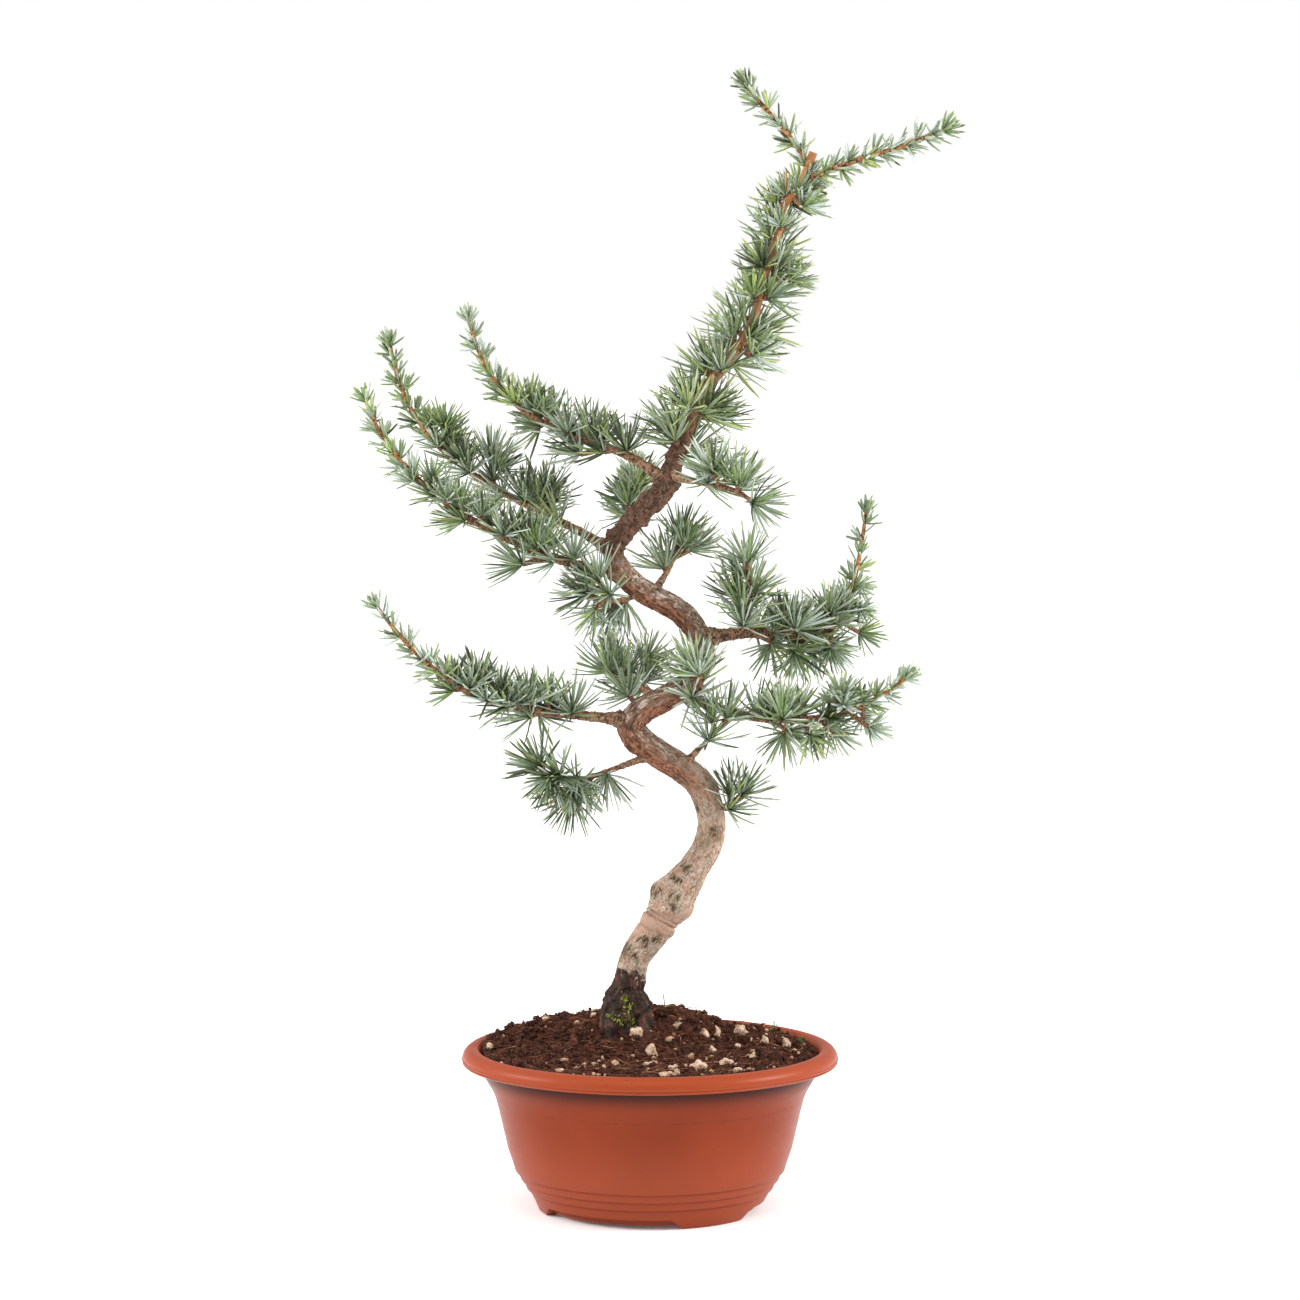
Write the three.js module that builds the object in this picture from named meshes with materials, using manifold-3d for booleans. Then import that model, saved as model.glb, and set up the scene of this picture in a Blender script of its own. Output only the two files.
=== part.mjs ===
// Potted blue atlas cedar, grown as a bonsai: a round terracotta coloured plastic bowl on three feet,
// its heaped soil, the whole winding trunk, the bare boughs and the masses of needles on them.
// Millimetres, +Z up, +X to the right and -Y to the front, with the origin on the ground on the
// bowl's axis.
import * as THREE from 'three';
import { mergeVertices } from 'three/addons/utils/BufferGeometryUtils.js';
import Module from 'manifold-3d';

const wasm = await Module();
wasm.setup();

// Gap kept between neighbouring pieces
const CLEAR = 0.3;

// Bowl: half outlines as [radius, height]
const BOWL_SEGMENTS = 32;
const BOWL_OUTSIDE = [[65, 0], [70.4, 11.6], [71.6, 12.2], [73.6, 16.9], [74.8, 17.5], [77, 22],
  [78.2, 22.6], [82.9, 36.2], [87.6, 57.5], [91.4, 72]];
const BOWL_RIM = [[98, 80.5], [109, 83.6], [110, 86], [106.5, 92.4], [102.8, 95], [100.4, 95]];
const BOWL_INSIDE = [[96.6, 84], [89, 71.5], [80.6, 36], [68, 8.5], [60.5, 8.5], [59.5, 4.4]];
const BOWL_FLOOR_TOP = 4.4;
const BOWL_FLOOR_UNDERSIDE = 2;
const FOOT_INNER_RADIUS = 56;
const FOOT_OUTER_RADIUS = 62;
const FOOT_ANGLES = [35, 155, 275];
const FOOT_WIDTH = 36;
const FOOT_SPREAD = 7;
const NOTCH_HEIGHT = 6;
const NOTCH_STEPS = 10;

// Soil: an edge height with two heaps and a hollow in front of the trunk
const SOIL_SEGMENTS = BOWL_SEGMENTS / 2;
const SOIL_RINGS = [24, 42, 60, 80];
const SOIL_EDGE = 92;
const SOIL_EDGE_RADIUS = 98.4;
const SOIL_EDGE_DROP = 2;
const SOIL_HEAPS = [
  { x: -8, y: 30, wide: 45, deep: 34, height: 18 },
  { x: 25, y: 35, wide: 14, deep: 14, height: 7 },
  { x: -13, y: -22, wide: 10, deep: 10, height: -4 },
];

// Trunk: its turns as [x, y, z, radius], from the flat cut in the soil to the pruned top
const TRUNK_TURNS = [
  [-14.6, 0, 96.5, 15], [-13.4, 0, 121, 12.3], [-12.4, 0, 130, 9], [-8.6, 0, 147, 8.8],
  [3, 1, 164.5, 10.4], [14.5, 2, 183, 12.2], [25, 3, 198.5, 8.9], [33.8, 3, 213.5, 8.4],
  [35.6, 2, 230, 8.1], [27, -1, 251, 8.1], [6, -3, 266, 8.2], [-6.5, -4, 275.5, 8.1],
  [-10.5, -5, 284, 8.1], [-4, -5, 292.5, 7.9], [9, -4, 299.5, 7.4], [24, -1, 309.5, 7],
  [31, 1, 327, 6.5], [19.4, 3, 347.4, 7], [-7.8, 4, 363.6, 7], [-21, 2, 382.3, 6],
  [-11.9, -1, 400, 6.3], [7.8, -3, 421, 6.5], [16.5, -3, 443.5, 4.9], [31.4, -1, 476.5, 3.7],
  [56, 2, 511, 2.6], [72.2, 4, 561.4, 2.1], [77.5, 4, 584, 2.1], [86, 3, 593, 2.3], [94, 2, 614, 2.5],
];
const TRUNK_SIDES = 11;
const TRUNK_RINGS_PER_TURN = 2;
const TRUNK_BONES = 92;
const FLARE_TOP = 131;
const FLARE_LOBES = 5;
const FLARE_DEPTH = 0.09;

// Boughs: each leaves the trunk at a height, bends past two elbows and ends in its tip, with its
// thickness at both ends, the bare share of its length and the share that is this year's shoot
const BOUGHS = {
  low_left: { leave: 286, elbows: [[-70, -29, 297], [-107, -36, 287]], tip: [-154, -55, 355],
    radius: [3, 1.1], bare: 0.17, shoot: 0.36 },
  low_left_twig: { leave: 266, elbows: [[-15, -8, 265], [-43, -25, 243]], tip: [-63, -30, 262],
    radius: [1.9, 1.1], bare: 0.36, shoot: 0, upward: -0.7 },
  low_right: { leave: 304, elbows: [[54, -22, 283], [108, -33, 281]], tip: [145, -45, 314],
    radius: [3.1, 1.1], bare: 0.3, shoot: 0.3 },
  mid_right: { leave: 333, elbows: [[96, 25, 348], [112, 15, 298]], tip: [127, 38, 405],
    radius: [3.2, 1.1], bare: 0.14, shoot: 0.26 },
  mid_left: { leave: 370, elbows: [[-59, -12, 377], [-144, -14, 411]], tip: [-163, -12, 471],
    radius: [3, 1.1], bare: 0.16, shoot: 0.34 },
  back_left: { leave: 384, elbows: [[-73, 40, 416], [-141, 48, 425]], tip: [-153, 52, 503],
    radius: [2.6, 1.1], bare: 0.15, shoot: 0.34 },
  upper_left: { leave: 424, elbows: [[-26, 5, 460], [-85, 10, 439]], tip: [-105, 18, 517],
    radius: [2.7, 1.1], bare: 0.15, shoot: 0.36 },
  upper_right: { leave: 430, elbows: [[20, -14, 423], [44, -49, 428]], tip: [58, -60, 415],
    radius: [2.1, 1.2], bare: 0.36, shoot: 0 },
  fork: { leave: 258, elbows: [[26, -8, 269], [35, -18, 277]], tip: [44, -24, 289],
    radius: [1.7, 1], bare: 0.45, shoot: 0 },
  back_low: { leave: 298, elbows: [[4, 30, 300], [-16, 60, 300]], tip: [-24, 84, 324],
    radius: [2.4, 1.2], bare: 0.34, shoot: 0.2 },
  back_mid: { leave: 358, elbows: [[6, 26, 366], [11, 38, 368]], tip: [18, 46, 390],
    radius: [2.2, 1.2], bare: 0.45, shoot: 0 },
  mid_right_fan: { leave: 336, elbows: [[52, -16, 336], [62, -12, 336]], tip: [56, -4, 378],
    radius: [2.2, 1.2], bare: 0.4, shoot: 0 },
  back_high: { leave: 407, elbows: [[-12, 26, 401], [-16, 52, 404]], tip: [-8, 80, 432],
    radius: [2.2, 1.1], bare: 0.3, shoot: 0.24 },
};

// Sprays that sit on the trunk itself, each on a stem of its own
const SPRAYS = {
  front: { leave: 303, elbows: [[26, -16, 300], [32, -24, 303]], tip: [28, -27, 315] },
  left: { leave: 291, elbows: [[-10, -2, 300], [-16, 1, 304]], tip: [-24, 3, 314] },
  right: { leave: 233, elbows: [[40, 0, 234], [47, -3, 238]], tip: [53, -5, 243] },
  mid_low: { leave: 361, elbows: [[-14, -6, 355], [-24, -9, 354]], tip: [-36, -11, 360],
    upward: -0.2 },
  tip_left: { leave: 601, elbows: [[96, 5, 612], [64, 11, 640]], tip: [56, 12, 652],
    shoot: 0.94, youth: 0.9 },
  tip_right: { leave: 597, elbows: [[110, -10, 608], [141, -21, 614]], tip: [166, -30, 625],
    shoot: 0.94, youth: 0.9 },
};
const SPRAY_RADIUS = [1.8, 1.1];

// Leader: tiers of sprays up the trunk's upper half, each tier turned about it from the last,
// closer to the trunk and with younger needles tier by tier
const LEADER_FOOT = 440;
const LEADER_RISE = 41;
const LEADER_TIERS = 4;
const LEADER_SIDES = 3;
const LEADER_TURN = 55;
const LEADER_STAND_OFF = [10, 6.5];
const LEADER_ELBOWS = [0.1, 0.4];
const LEADER_TIP = 0.66;
const LEADER_YOUTH = 0.7;

// Growth rule of every mass: whorls of needles by turns round the stem, every third one out on a
// twig, and single needles on this year's shoot
const GOLDEN_TURN = THREE.MathUtils.degToRad(137.5);
const WHORL_STEP = 13.5;
const FIRST_ON_BOUGH = 6;
const FIRST_ON_TRUNK = 11;
const WHORL_SEAT = 1.5;
const TWIG_LENGTH = [19, 10];
const TWIG_RADIUS = [1.4, 1];
const TWIG_EVERY = 3;
const TWIG_SIDES = 3;
const STEM_SIDES = 4;
const STEM_STEP = 12;
const SHOOT_STEP = 5.2;
const SHOOT_TWIST = THREE.MathUtils.degToRad(24);
const SHOOT_END_SPREAD = 0.35;
const NEEDLE_LENGTH = [23, 9.5];
const NEEDLE_VARIES = [0.85, 1.12];
const YOUTH_FROM = 0.3;
const YOUTH_OF_OLD_WOOD = 0.05;
const SEAT_DEPTH = 0.7;
const BOUGH_SIDES = 6;
const BOUGH_STEP = 9;
const STEM_SEED = 100;
const WHORL_CORE = 2.4;
const WHORL_LEAN = 0.32;
const WHORL_BACK = -0.15;
const UPWARD = 0.55;
const FORWARD = 0.55;
const SHOOT_LEAN = 0.8;

// Space that each mass keeps: to another mass's twigs, to limbs, and between needles of two masses
const TWIG_SPACE = 6.6;
const LIMB_SPACE = 3.2;
const NEEDLE_TO_LIMB = 1.1;
const NEEDLE_TO_TWIG = 3.6;
const NEEDLE_TO_NEEDLE = 1.7;
const NEEDLE_CHECKS = [0.2, 0.45, 0.7, 1];

const plain = (color, roughness) => new THREE.MeshStandardMaterial({ color, roughness, metalness: 0 });
const PLASTIC = plain(0xb4542f, 0.42);
const PEAT = plain(0x4a2c1f, 0.95);
const BARK = plain(0x9a7f6b, 0.85);
const TWIG_BARK = plain(0x8a6449, 0.85);
const NEEDLES = plain(0x6f8a80, 0.55);

const UP = new THREE.Vector3(0, 0, 1);
const vector = (numbers) => new THREE.Vector3(...numbers);
const along = (range, share) => THREE.MathUtils.lerp(range[0], range[1], share);

/** A generator of numbers from 0 to 1 that gives the same row for the same seed. */
function seeded(seed) {
  let state = Math.imul(seed + 1, 2654435761) >>> 0;
  return () => {
    state = (Math.imul(state, 1664525) + 1013904223) >>> 0;
    return state / 2 ** 32;
  };
}

/** The merged corners of a geometry, and its triangles as cells of three corners. */
function skinOf(geometry) {
  geometry.deleteAttribute('normal');
  geometry.deleteAttribute('uv');
  const merged = mergeVertices(geometry);
  const place = merged.getAttribute('position');
  const points = [];
  for (let i = 0; i < place.count; i += 1) points.push(new THREE.Vector3().fromBufferAttribute(place, i));
  const cells = [];
  for (let i = 0; i < merged.index.count; i += 3) {
    cells.push([merged.index.getX(i), merged.index.getX(i + 1), merged.index.getX(i + 2)]);
  }
  return { points, cells };
}

/** A closed skin as a solid that can be joined and cut. */
function solidOf({ points, cells }) {
  const triangles = [];
  for (const cell of cells) {
    for (let k = 2; k < cell.length; k += 1) {
      if (new Set([cell[0], cell[k - 1], cell[k]]).size === 3) triangles.push(cell[0], cell[k - 1], cell[k]);
    }
  }
  const vertProperties = new Float32Array(points.flatMap((point) => point.toArray()));
  return new wasm.Manifold(new wasm.Mesh({ numProp: 3, vertProperties, triVerts: new Uint32Array(triangles) }));
}

/** The largest connected body of a solid: loose scraps and sealed hollows are left out. */
function mainBody(solid) {
  return solid.decompose().reduce((best, body) => (body.volume() > best.volume() ? body : best));
}

/** A named mesh from a solid. */
function meshOf(name, solid, material) {
  const { vertProperties, triVerts } = solid.getMesh();
  const geometry = new THREE.BufferGeometry();
  geometry.setAttribute('position', new THREE.BufferAttribute(vertProperties, 3));
  geometry.setIndex(new THREE.BufferAttribute(triVerts, 1));
  const mesh = new THREE.Mesh(geometry, material);
  mesh.name = name;
  return mesh;
}

/** Frames along a curve at the given shares of it, each turned as little as can be from the last. */
function framesAlong(curve, shares) {
  let side = null;
  return shares.map((share) => {
    const forward = curve.getTangent(share);
    if (side === null) {
      const parts = forward.toArray().map(Math.abs);
      side = new THREE.Vector3().setComponent(parts.indexOf(Math.min(...parts)), 1);
    }
    side = side.clone().addScaledVector(forward, -side.dot(forward)).normalize();
    return { share, centre: curve.getPoint(share), forward, side, over: side.clone().cross(forward) };
  });
}

/** The skin of a tapering limb: a cylinder's rings moved to frames, its wall as four-sided cells. */
function limbSkin(frames, radiusAt, sides, twist = 0) {
  const steps = frames.length - 1;
  const skin = skinOf(new THREE.CylinderGeometry(1, 1, 1, sides, steps));
  const walls = [];
  for (let k = 0; k < sides * steps; k += 1) {
    const [first, second] = [skin.cells[2 * k], skin.cells[2 * k + 1]];
    walls.push([first[0], first[1], second[1], first[2]]);
  }
  const caps = skin.cells.slice(2 * sides * steps);
  const rings = skin.points.map((point) => Math.round((point.y + 0.5) * steps));
  const points = skin.points.map((point, i) => {
    const frame = frames[rings[i]];
    const turn = Math.atan2(point.z, point.x) + twist * rings[i];
    const reach = Math.hypot(point.x, point.z) > 0.5 ? radiusAt(frame, turn) : 0;
    return frame.centre.clone()
      .addScaledVector(frame.side, reach * Math.cos(turn))
      .addScaledVector(frame.over, reach * Math.sin(turn));
  });
  return { points, cells: [...walls, ...caps], rings };
}

/** Draws each cell of a skin out into a needle, where tipOf gives a tip for it. */
function drawNeedles(skin, tipOf) {
  const points = [...skin.points];
  const cells = skin.cells.flatMap((cell, k) => {
    const middle = cell.reduce((sum, i) => sum.add(skin.points[i]), new THREE.Vector3())
      .divideScalar(cell.length);
    const tip = tipOf(cell, middle, k);
    if (tip === null) return [cell];
    points.push(tip);
    return cell.map((corner, i) => [corner, cell[(i + 1) % cell.length], points.length - 1]);
  });
  return { points, cells };
}

/** Even shares from one share of a curve to another, a step of the given length apart. */
function sharesBetween(curve, from, to, step) {
  const count = Math.max(1, Math.round((curve.getLength() * (to - from)) / step));
  return Array.from({ length: count + 1 }, (_, i) => along([from, to], i / count));
}

// Trunk

const trunkCurve = new THREE.CatmullRomCurve3(TRUNK_TURNS.map((turn) => vector(turn)), false, 'catmullrom');

/** The trunk's radius at a share of its turns. */
function trunkRadius(share) {
  const turn = share * (TRUNK_TURNS.length - 1);
  const low = Math.min(Math.floor(turn), TRUNK_TURNS.length - 2);
  return along([TRUNK_TURNS[low][3], TRUNK_TURNS[low + 1][3]], turn - low);
}

/** The share of the trunk's turns at which its axis reaches a height. */
function trunkShareAt(height) {
  let [low, high] = [0, 1];
  while (high - low > 1e-5) {
    const middle = (low + high) / 2;
    if (trunkCurve.getPoint(middle).z < height) low = middle;
    else high = middle;
  }
  return low;
}

/** The trunk with its lobed root flare, grown all round by an allowance. */
function trunkSolid(allowance) {
  const count = Math.round((TRUNK_TURNS.length - 1) * TRUNK_RINGS_PER_TURN);
  const frames = framesAlong(trunkCurve, Array.from({ length: count + 1 }, (_, i) => i / count));
  const foot = TRUNK_TURNS[0][2];
  const skin = limbSkin(frames, ({ share, centre }, turn) => {
    const flare = Math.max(0, (FLARE_TOP - centre.z) / (FLARE_TOP - foot));
    return trunkRadius(share) * (1 + FLARE_DEPTH * flare * Math.cos(FLARE_LOBES * turn)) + allowance;
  }, TRUNK_SIDES);
  for (const [i, point] of skin.points.entries()) if (skin.rings[i] === 0) point.z = foot;
  return solidOf(skin);
}

const trunk = trunkSolid(0);
const trunkRoom = trunkSolid(CLEAR);

// Bowl and soil

/** A solid turned about the bowl's axis from an outline of [radius, height], foot first. */
function turned(outline, segments) {
  return skinOf(new THREE.LatheGeometry(outline.map(([radius, z]) => new THREE.Vector2(radius, z)), segments)
    .rotateX(Math.PI / 2));
}

/** A block bent round the bowl's axis, narrower at its top by the spread at each end. */
function bentBlock(middle, halfWidth, spread, radii, heights) {
  const skin = skinOf(new THREE.BoxGeometry(1, 1, 1, NOTCH_STEPS, 1, 1));
  for (const point of skin.points) {
    const rise = point.z + 0.5;
    const angle = THREE.MathUtils.degToRad(middle + 2 * point.x * (halfWidth - spread * rise));
    const radius = along(radii, 0.5 - point.y);
    point.set(radius * Math.sin(angle), -radius * Math.cos(angle), along(heights, rise));
  }
  return solidOf(skin);
}

/** The bowl: one turned wall, floor and rolled rim, notched between its three feet. */
function bowlSolid() {
  const outline = [[0, BOWL_FLOOR_UNDERSIDE], [FOOT_INNER_RADIUS, BOWL_FLOOR_UNDERSIDE],
    [FOOT_INNER_RADIUS, 0], ...BOWL_OUTSIDE, ...BOWL_RIM, ...BOWL_INSIDE, [0, BOWL_FLOOR_TOP]];
  let bowl = solidOf(turned(outline, BOWL_SEGMENTS));
  const halfNotch = (360 / FOOT_ANGLES.length - FOOT_WIDTH) / 2;
  const [below, beyond, overlap] = [-1, 75, 0.2];
  for (const foot of FOOT_ANGLES) {
    const middle = foot + 180 / FOOT_ANGLES.length;
    bowl = bowl
      .subtract(bentBlock(middle, halfNotch, 0, [FOOT_INNER_RADIUS - 1, FOOT_OUTER_RADIUS + overlap],
        [below, BOWL_FLOOR_UNDERSIDE]))
      .subtract(bentBlock(middle, halfNotch, FOOT_SPREAD, [FOOT_OUTER_RADIUS, beyond],
        [below, NOTCH_HEIGHT]));
  }
  return mainBody(bowl);
}

/** The height of the soil's surface at a place. */
function soilHeight(x, y) {
  return SOIL_HEAPS.reduce((height, heap) => height + heap.height
    * Math.exp(-(((x - heap.x) / heap.wide) ** 2 + ((y - heap.y) / heap.deep) ** 2) / 2), SOIL_EDGE);
}

/** The soil that fills the bowl, heaped and cut clear of the trunk's foot. */
function soilSolid() {
  const wall = BOWL_INSIDE.slice(1).map(([radius, z]) => [radius - CLEAR, z + CLEAR]).reverse();
  const [lip, lipHeight] = BOWL_INSIDE[0];
  const top = [[lip - CLEAR, lipHeight], [SOIL_EDGE_RADIUS, SOIL_EDGE - SOIL_EDGE_DROP]];
  const surface = [...SOIL_RINGS].reverse().map((radius) => [radius, SOIL_EDGE]);
  const skin = turned([[0, BOWL_FLOOR_TOP + CLEAR], ...wall, ...top, ...surface, [0, SOIL_EDGE]],
    SOIL_SEGMENTS);
  for (const point of skin.points) {
    if (point.z > SOIL_EDGE - 1) point.z = soilHeight(point.x, point.y);
  }
  return mainBody(solidOf(skin).subtract(trunkRoom).subtract(trunkRoom.translate(0, 0, -CLEAR)));
}

// Limbs and masses

/** The curve of a limb from the trunk's axis past its elbows to its tip. */
function limbCurve({ leave, elbows, tip }) {
  return new THREE.CubicBezierCurve3(trunkCurve.getPoint(trunkShareAt(leave)), vector(elbows[0]),
    vector(elbows[1]), vector(tip));
}

/** A spray of the leader: off the trunk to one side, then up beside it. */
function leaderSpray(leave, outward, standOff) {
  const beside = (share) => trunkCurve.getPoint(trunkShareAt(leave + share * LEADER_RISE))
    .addScaledVector(outward, standOff);
  return { leave, elbows: LEADER_ELBOWS.map(beside), tip: beside(LEADER_TIP) };
}

const boughs = Object.entries(BOUGHS).map(([name, size]) => ({ name, curve: limbCurve(size), ...size }));
const masses = boughs.map(({ name, curve, radius, bare, shoot, upward }) => ({
  name,
  curve,
  from: bare + CLEAR / curve.getLength(),
  radius: [along(radius, bare), radius[1]],
  shoot,
  lift: vector([0, 0, upward ?? UPWARD]),
}));
const onTrunk = { onTrunk: true, from: 0, radius: SPRAY_RADIUS, shoot: 0 };
for (const [name, size] of Object.entries(SPRAYS)) {
  const lift = vector([0, 0, size.upward ?? UPWARD]);
  masses.push({ ...onTrunk, ...size, name, curve: limbCurve(size), lift });
}
for (let tier = 0; tier < LEADER_TIERS; tier += 1) {
  const up = tier / (LEADER_TIERS - 1);
  for (let side = 0; side < LEADER_SIDES; side += 1) {
    const turn = THREE.MathUtils.degToRad(LEADER_TURN * tier + (360 / LEADER_SIDES) * side);
    const outward = vector([Math.cos(turn), Math.sin(turn), 0]);
    const spray = leaderSpray(LEADER_FOOT + LEADER_RISE * tier, outward, along(LEADER_STAND_OFF, up));
    masses.push({ ...onTrunk, name: `leader_${tier + 1}_${side + 1}`, curve: limbCurve(spray),
      lift: outward, youth: LEADER_YOUTH * up });
  }
}

// Bones: the centre lines with their radii, which the rule of space measures to
const limbBones = [];
const addBones = (list, frames, radiusOf) => frames.slice(1).forEach((frame, i) => {
  list.push({ line: new THREE.Line3(frames[i].centre, frame.centre), radius: radiusOf(frame.share) });
});
const trunkBoneShares = Array.from({ length: TRUNK_BONES + 1 }, (_, i) => i / TRUNK_BONES);
addBones(limbBones, framesAlong(trunkCurve, trunkBoneShares), trunkRadius);
for (const bough of boughs) {
  bough.frames = framesAlong(bough.curve, sharesBetween(bough.curve, 0, bough.bare, BOUGH_STEP));
  addBones(limbBones, bough.frames.slice(1), (share) => along(bough.radius, share));
}
for (const mass of masses) {
  const shootStart = 1 - mass.shoot * (1 - mass.from);
  const old = sharesBetween(mass.curve, mass.from, shootStart, STEM_STEP);
  const young = mass.shoot > 0 ? sharesBetween(mass.curve, shootStart, 1, SHOOT_STEP).slice(1) : [];
  mass.shootStart = shootStart;
  mass.frames = framesAlong(mass.curve, [...old, ...young]);
  mass.bones = [];
  addBones(mass.bones, mass.frames, () => 0);
}

const nearest = (bones, point) => bones.reduce((least, { line, radius }) => Math.min(least,
  line.closestPointToPoint(point, true, new THREE.Vector3()).distanceTo(point) - radius), Infinity);
const others = (mass) => masses.filter((other) => other !== mass).flatMap((other) => other.bones);

/** The length of a needle at a share of a mass's stem: long on old wood, short on this year's. */
function needleLength(mass, share, draw) {
  const byAge = mass.shoot > 0 ? THREE.MathUtils.smoothstep(share, YOUTH_FROM, 1) : YOUTH_OF_OLD_WOOD;
  return along(NEEDLE_LENGTH, mass.youth ?? byAge) * along(NEEDLE_VARIES, draw());
}

/** Grows a mass's twigs and whorls, leaving out each that would come too near to another limb. */
function growTwigs(mass, seed) {
  const draw = seeded(seed);
  const foreign = others(mass);
  const first = mass.from + (mass.onTrunk ? FIRST_ON_TRUNK : FIRST_ON_BOUGH) / mass.curve.getLength();
  const phase = draw() * 2 * Math.PI;
  mass.twigs = [];
  mass.whorls = [];
  const shares = sharesBetween(mass.curve, first, mass.shootStart, WHORL_STEP).slice(0, -1);
  framesAlong(mass.curve, mass.shootStart > first ? shares : []).forEach((frame, k) => {
    const turn = phase + k * GOLDEN_TURN;
    const onTwig = k % TWIG_EVERY === 1;
    const done = (frame.share - mass.from) / (1 - mass.from);
    const reach = onTwig ? along(TWIG_LENGTH, done) : along(mass.radius, done) * SEAT_DEPTH + WHORL_SEAT;
    const direction = new THREE.Vector3()
      .addScaledVector(frame.side, Math.cos(turn)).addScaledVector(frame.over, Math.sin(turn))
      .addScaledVector(frame.forward, FORWARD).add(mass.lift).normalize();
    const end = frame.centre.clone().addScaledVector(direction, reach);
    if (nearest(foreign, end) <= TWIG_SPACE || nearest(limbBones, end) <= LIMB_SPACE) return;
    if (onTwig) mass.twigs.push(new THREE.Line3(frame.centre, end));
    mass.whorls.push({ centre: end, direction, share: frame.share });
  });
  if (mass.shoot === 0) {
    const { centre, forward } = mass.frames.at(-1);
    mass.whorls.push({ centre, direction: forward.clone().add(mass.lift).normalize(), share: 1 });
  }
  mass.bones.push(...mass.twigs.map((line) => ({ line, radius: 0 })),
    ...mass.whorls.map(({ centre }) => ({ line: new THREE.Line3(centre, centre), radius: 0 })));
}

/** Whether a needle from root to tip keeps to its mass's space and clear of every limb. */
function hasRoom(root, tip, own, foreign) {
  return NEEDLE_CHECKS.every((share) => {
    const point = root.clone().lerp(tip, share);
    if (nearest(limbBones, point) < NEEDLE_TO_LIMB) return false;
    const away = nearest(foreign, point);
    return away > NEEDLE_TO_TWIG && away > nearest(own, point) + NEEDLE_TO_NEEDLE;
  });
}

/** A whorl: a small core whose faces round its front are drawn out into needles. */
function whorlSolid(mass, { centre, direction, share }, foreign, draw) {
  const aim = new THREE.Quaternion().setFromUnitVectors(UP, direction)
    .multiply(new THREE.Quaternion().setFromAxisAngle(UP, draw() * 2 * Math.PI));
  const skin = skinOf(new THREE.IcosahedronGeometry(WHORL_CORE, 0));
  for (const point of skin.points) point.applyQuaternion(aim).add(centre);
  return solidOf(drawNeedles(skin, (cell, middle) => {
    const length = needleLength(mass, share, draw);
    const outward = middle.clone().sub(centre).normalize();
    if (outward.dot(direction) < WHORL_BACK) return null;
    const tip = outward.addScaledVector(direction, WHORL_LEAN).setLength(length).add(centre);
    return hasRoom(centre, tip, mass.bones, foreign) ? tip : null;
  }));
}

/** A mass's stem: bare where it is old, and drawn out into single needles along its shoot. */
function stemSolid(mass, foreign, draw) {
  const radiusAt = ({ share }) => along(mass.radius, (share - mass.from) / (1 - mass.from));
  const skin = limbSkin(mass.frames, radiusAt, STEM_SIDES, SHOOT_TWIST);
  const shootRing = mass.frames.findIndex(({ share }) => share >= mass.shootStart);
  const last = mass.frames.length - 1;
  return solidOf(drawNeedles(skin, (cell, middle) => {
    const ring = Math.min(...cell.map((corner) => skin.rings[corner]));
    const { share, centre, forward } = mass.frames[ring];
    const length = needleLength(mass, share, draw);
    if (mass.shoot === 0 || ring < shootRing) return null;
    const outward = middle.clone().sub(centre).projectOnPlane(forward);
    const tip = outward.setLength(ring === last ? SHOOT_END_SPREAD : 1)
      .addScaledVector(forward, SHOOT_LEAN).setLength(length).add(middle);
    return hasRoom(middle, tip, mass.bones, foreign) ? tip : null;
  }));
}

/** One mass of foliage: its stem, twigs and whorls fused into one body. */
function massSolid(mass, seed) {
  const draw = seeded(seed);
  const foreign = others(mass);
  const bodies = [stemSolid(mass, foreign, draw)];
  for (const twig of mass.twigs) {
    const frames = framesAlong(new THREE.LineCurve3(twig.start, twig.end), [0, 1]);
    bodies.push(solidOf(limbSkin(frames, ({ share }) => along(TWIG_RADIUS, share), TWIG_SIDES)));
  }
  for (const whorl of mass.whorls) bodies.push(whorlSolid(mass, whorl, foreign, draw));
  const fused = wasm.Manifold.union(bodies);
  return mainBody(mass.onTrunk ? fused.subtract(trunkRoom) : fused);
}

const cedar = new THREE.Group();
cedar.add(meshOf('pot', bowlSolid(), PLASTIC));
cedar.add(meshOf('soil', soilSolid(), PEAT));
cedar.add(meshOf('trunk', trunk, BARK));
for (const bough of boughs) {
  const skin = limbSkin(bough.frames, ({ share }) => along(bough.radius, share), BOUGH_SIDES);
  cedar.add(meshOf(`bough_${bough.name}`, mainBody(solidOf(skin).subtract(trunkRoom)), TWIG_BARK));
}
masses.forEach(growTwigs);
masses.forEach((mass, i) => cedar.add(meshOf(`foliage_${mass.name}`, massSolid(mass, i + STEM_SEED), NEEDLES)));

export default cedar;
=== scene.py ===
"""A potted blue atlas cedar, grown as a bonsai in a round terracotta coloured plastic bowl.

Sizes are millimetres and turns are degrees, as a grower would note them down. A mesh is put into metres
where it is made. +Z is up, +X is to the right and -Y is to the front, with the origin on the ground on
the bowl's axis.
"""

import logging
import math
from dataclasses import dataclass, field
from enum import Enum
from functools import cached_property, reduce
from typing import Callable, Iterable, Sequence

import bmesh
import bpy
import numpy as np
from mathutils import Matrix, Vector, noise


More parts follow.
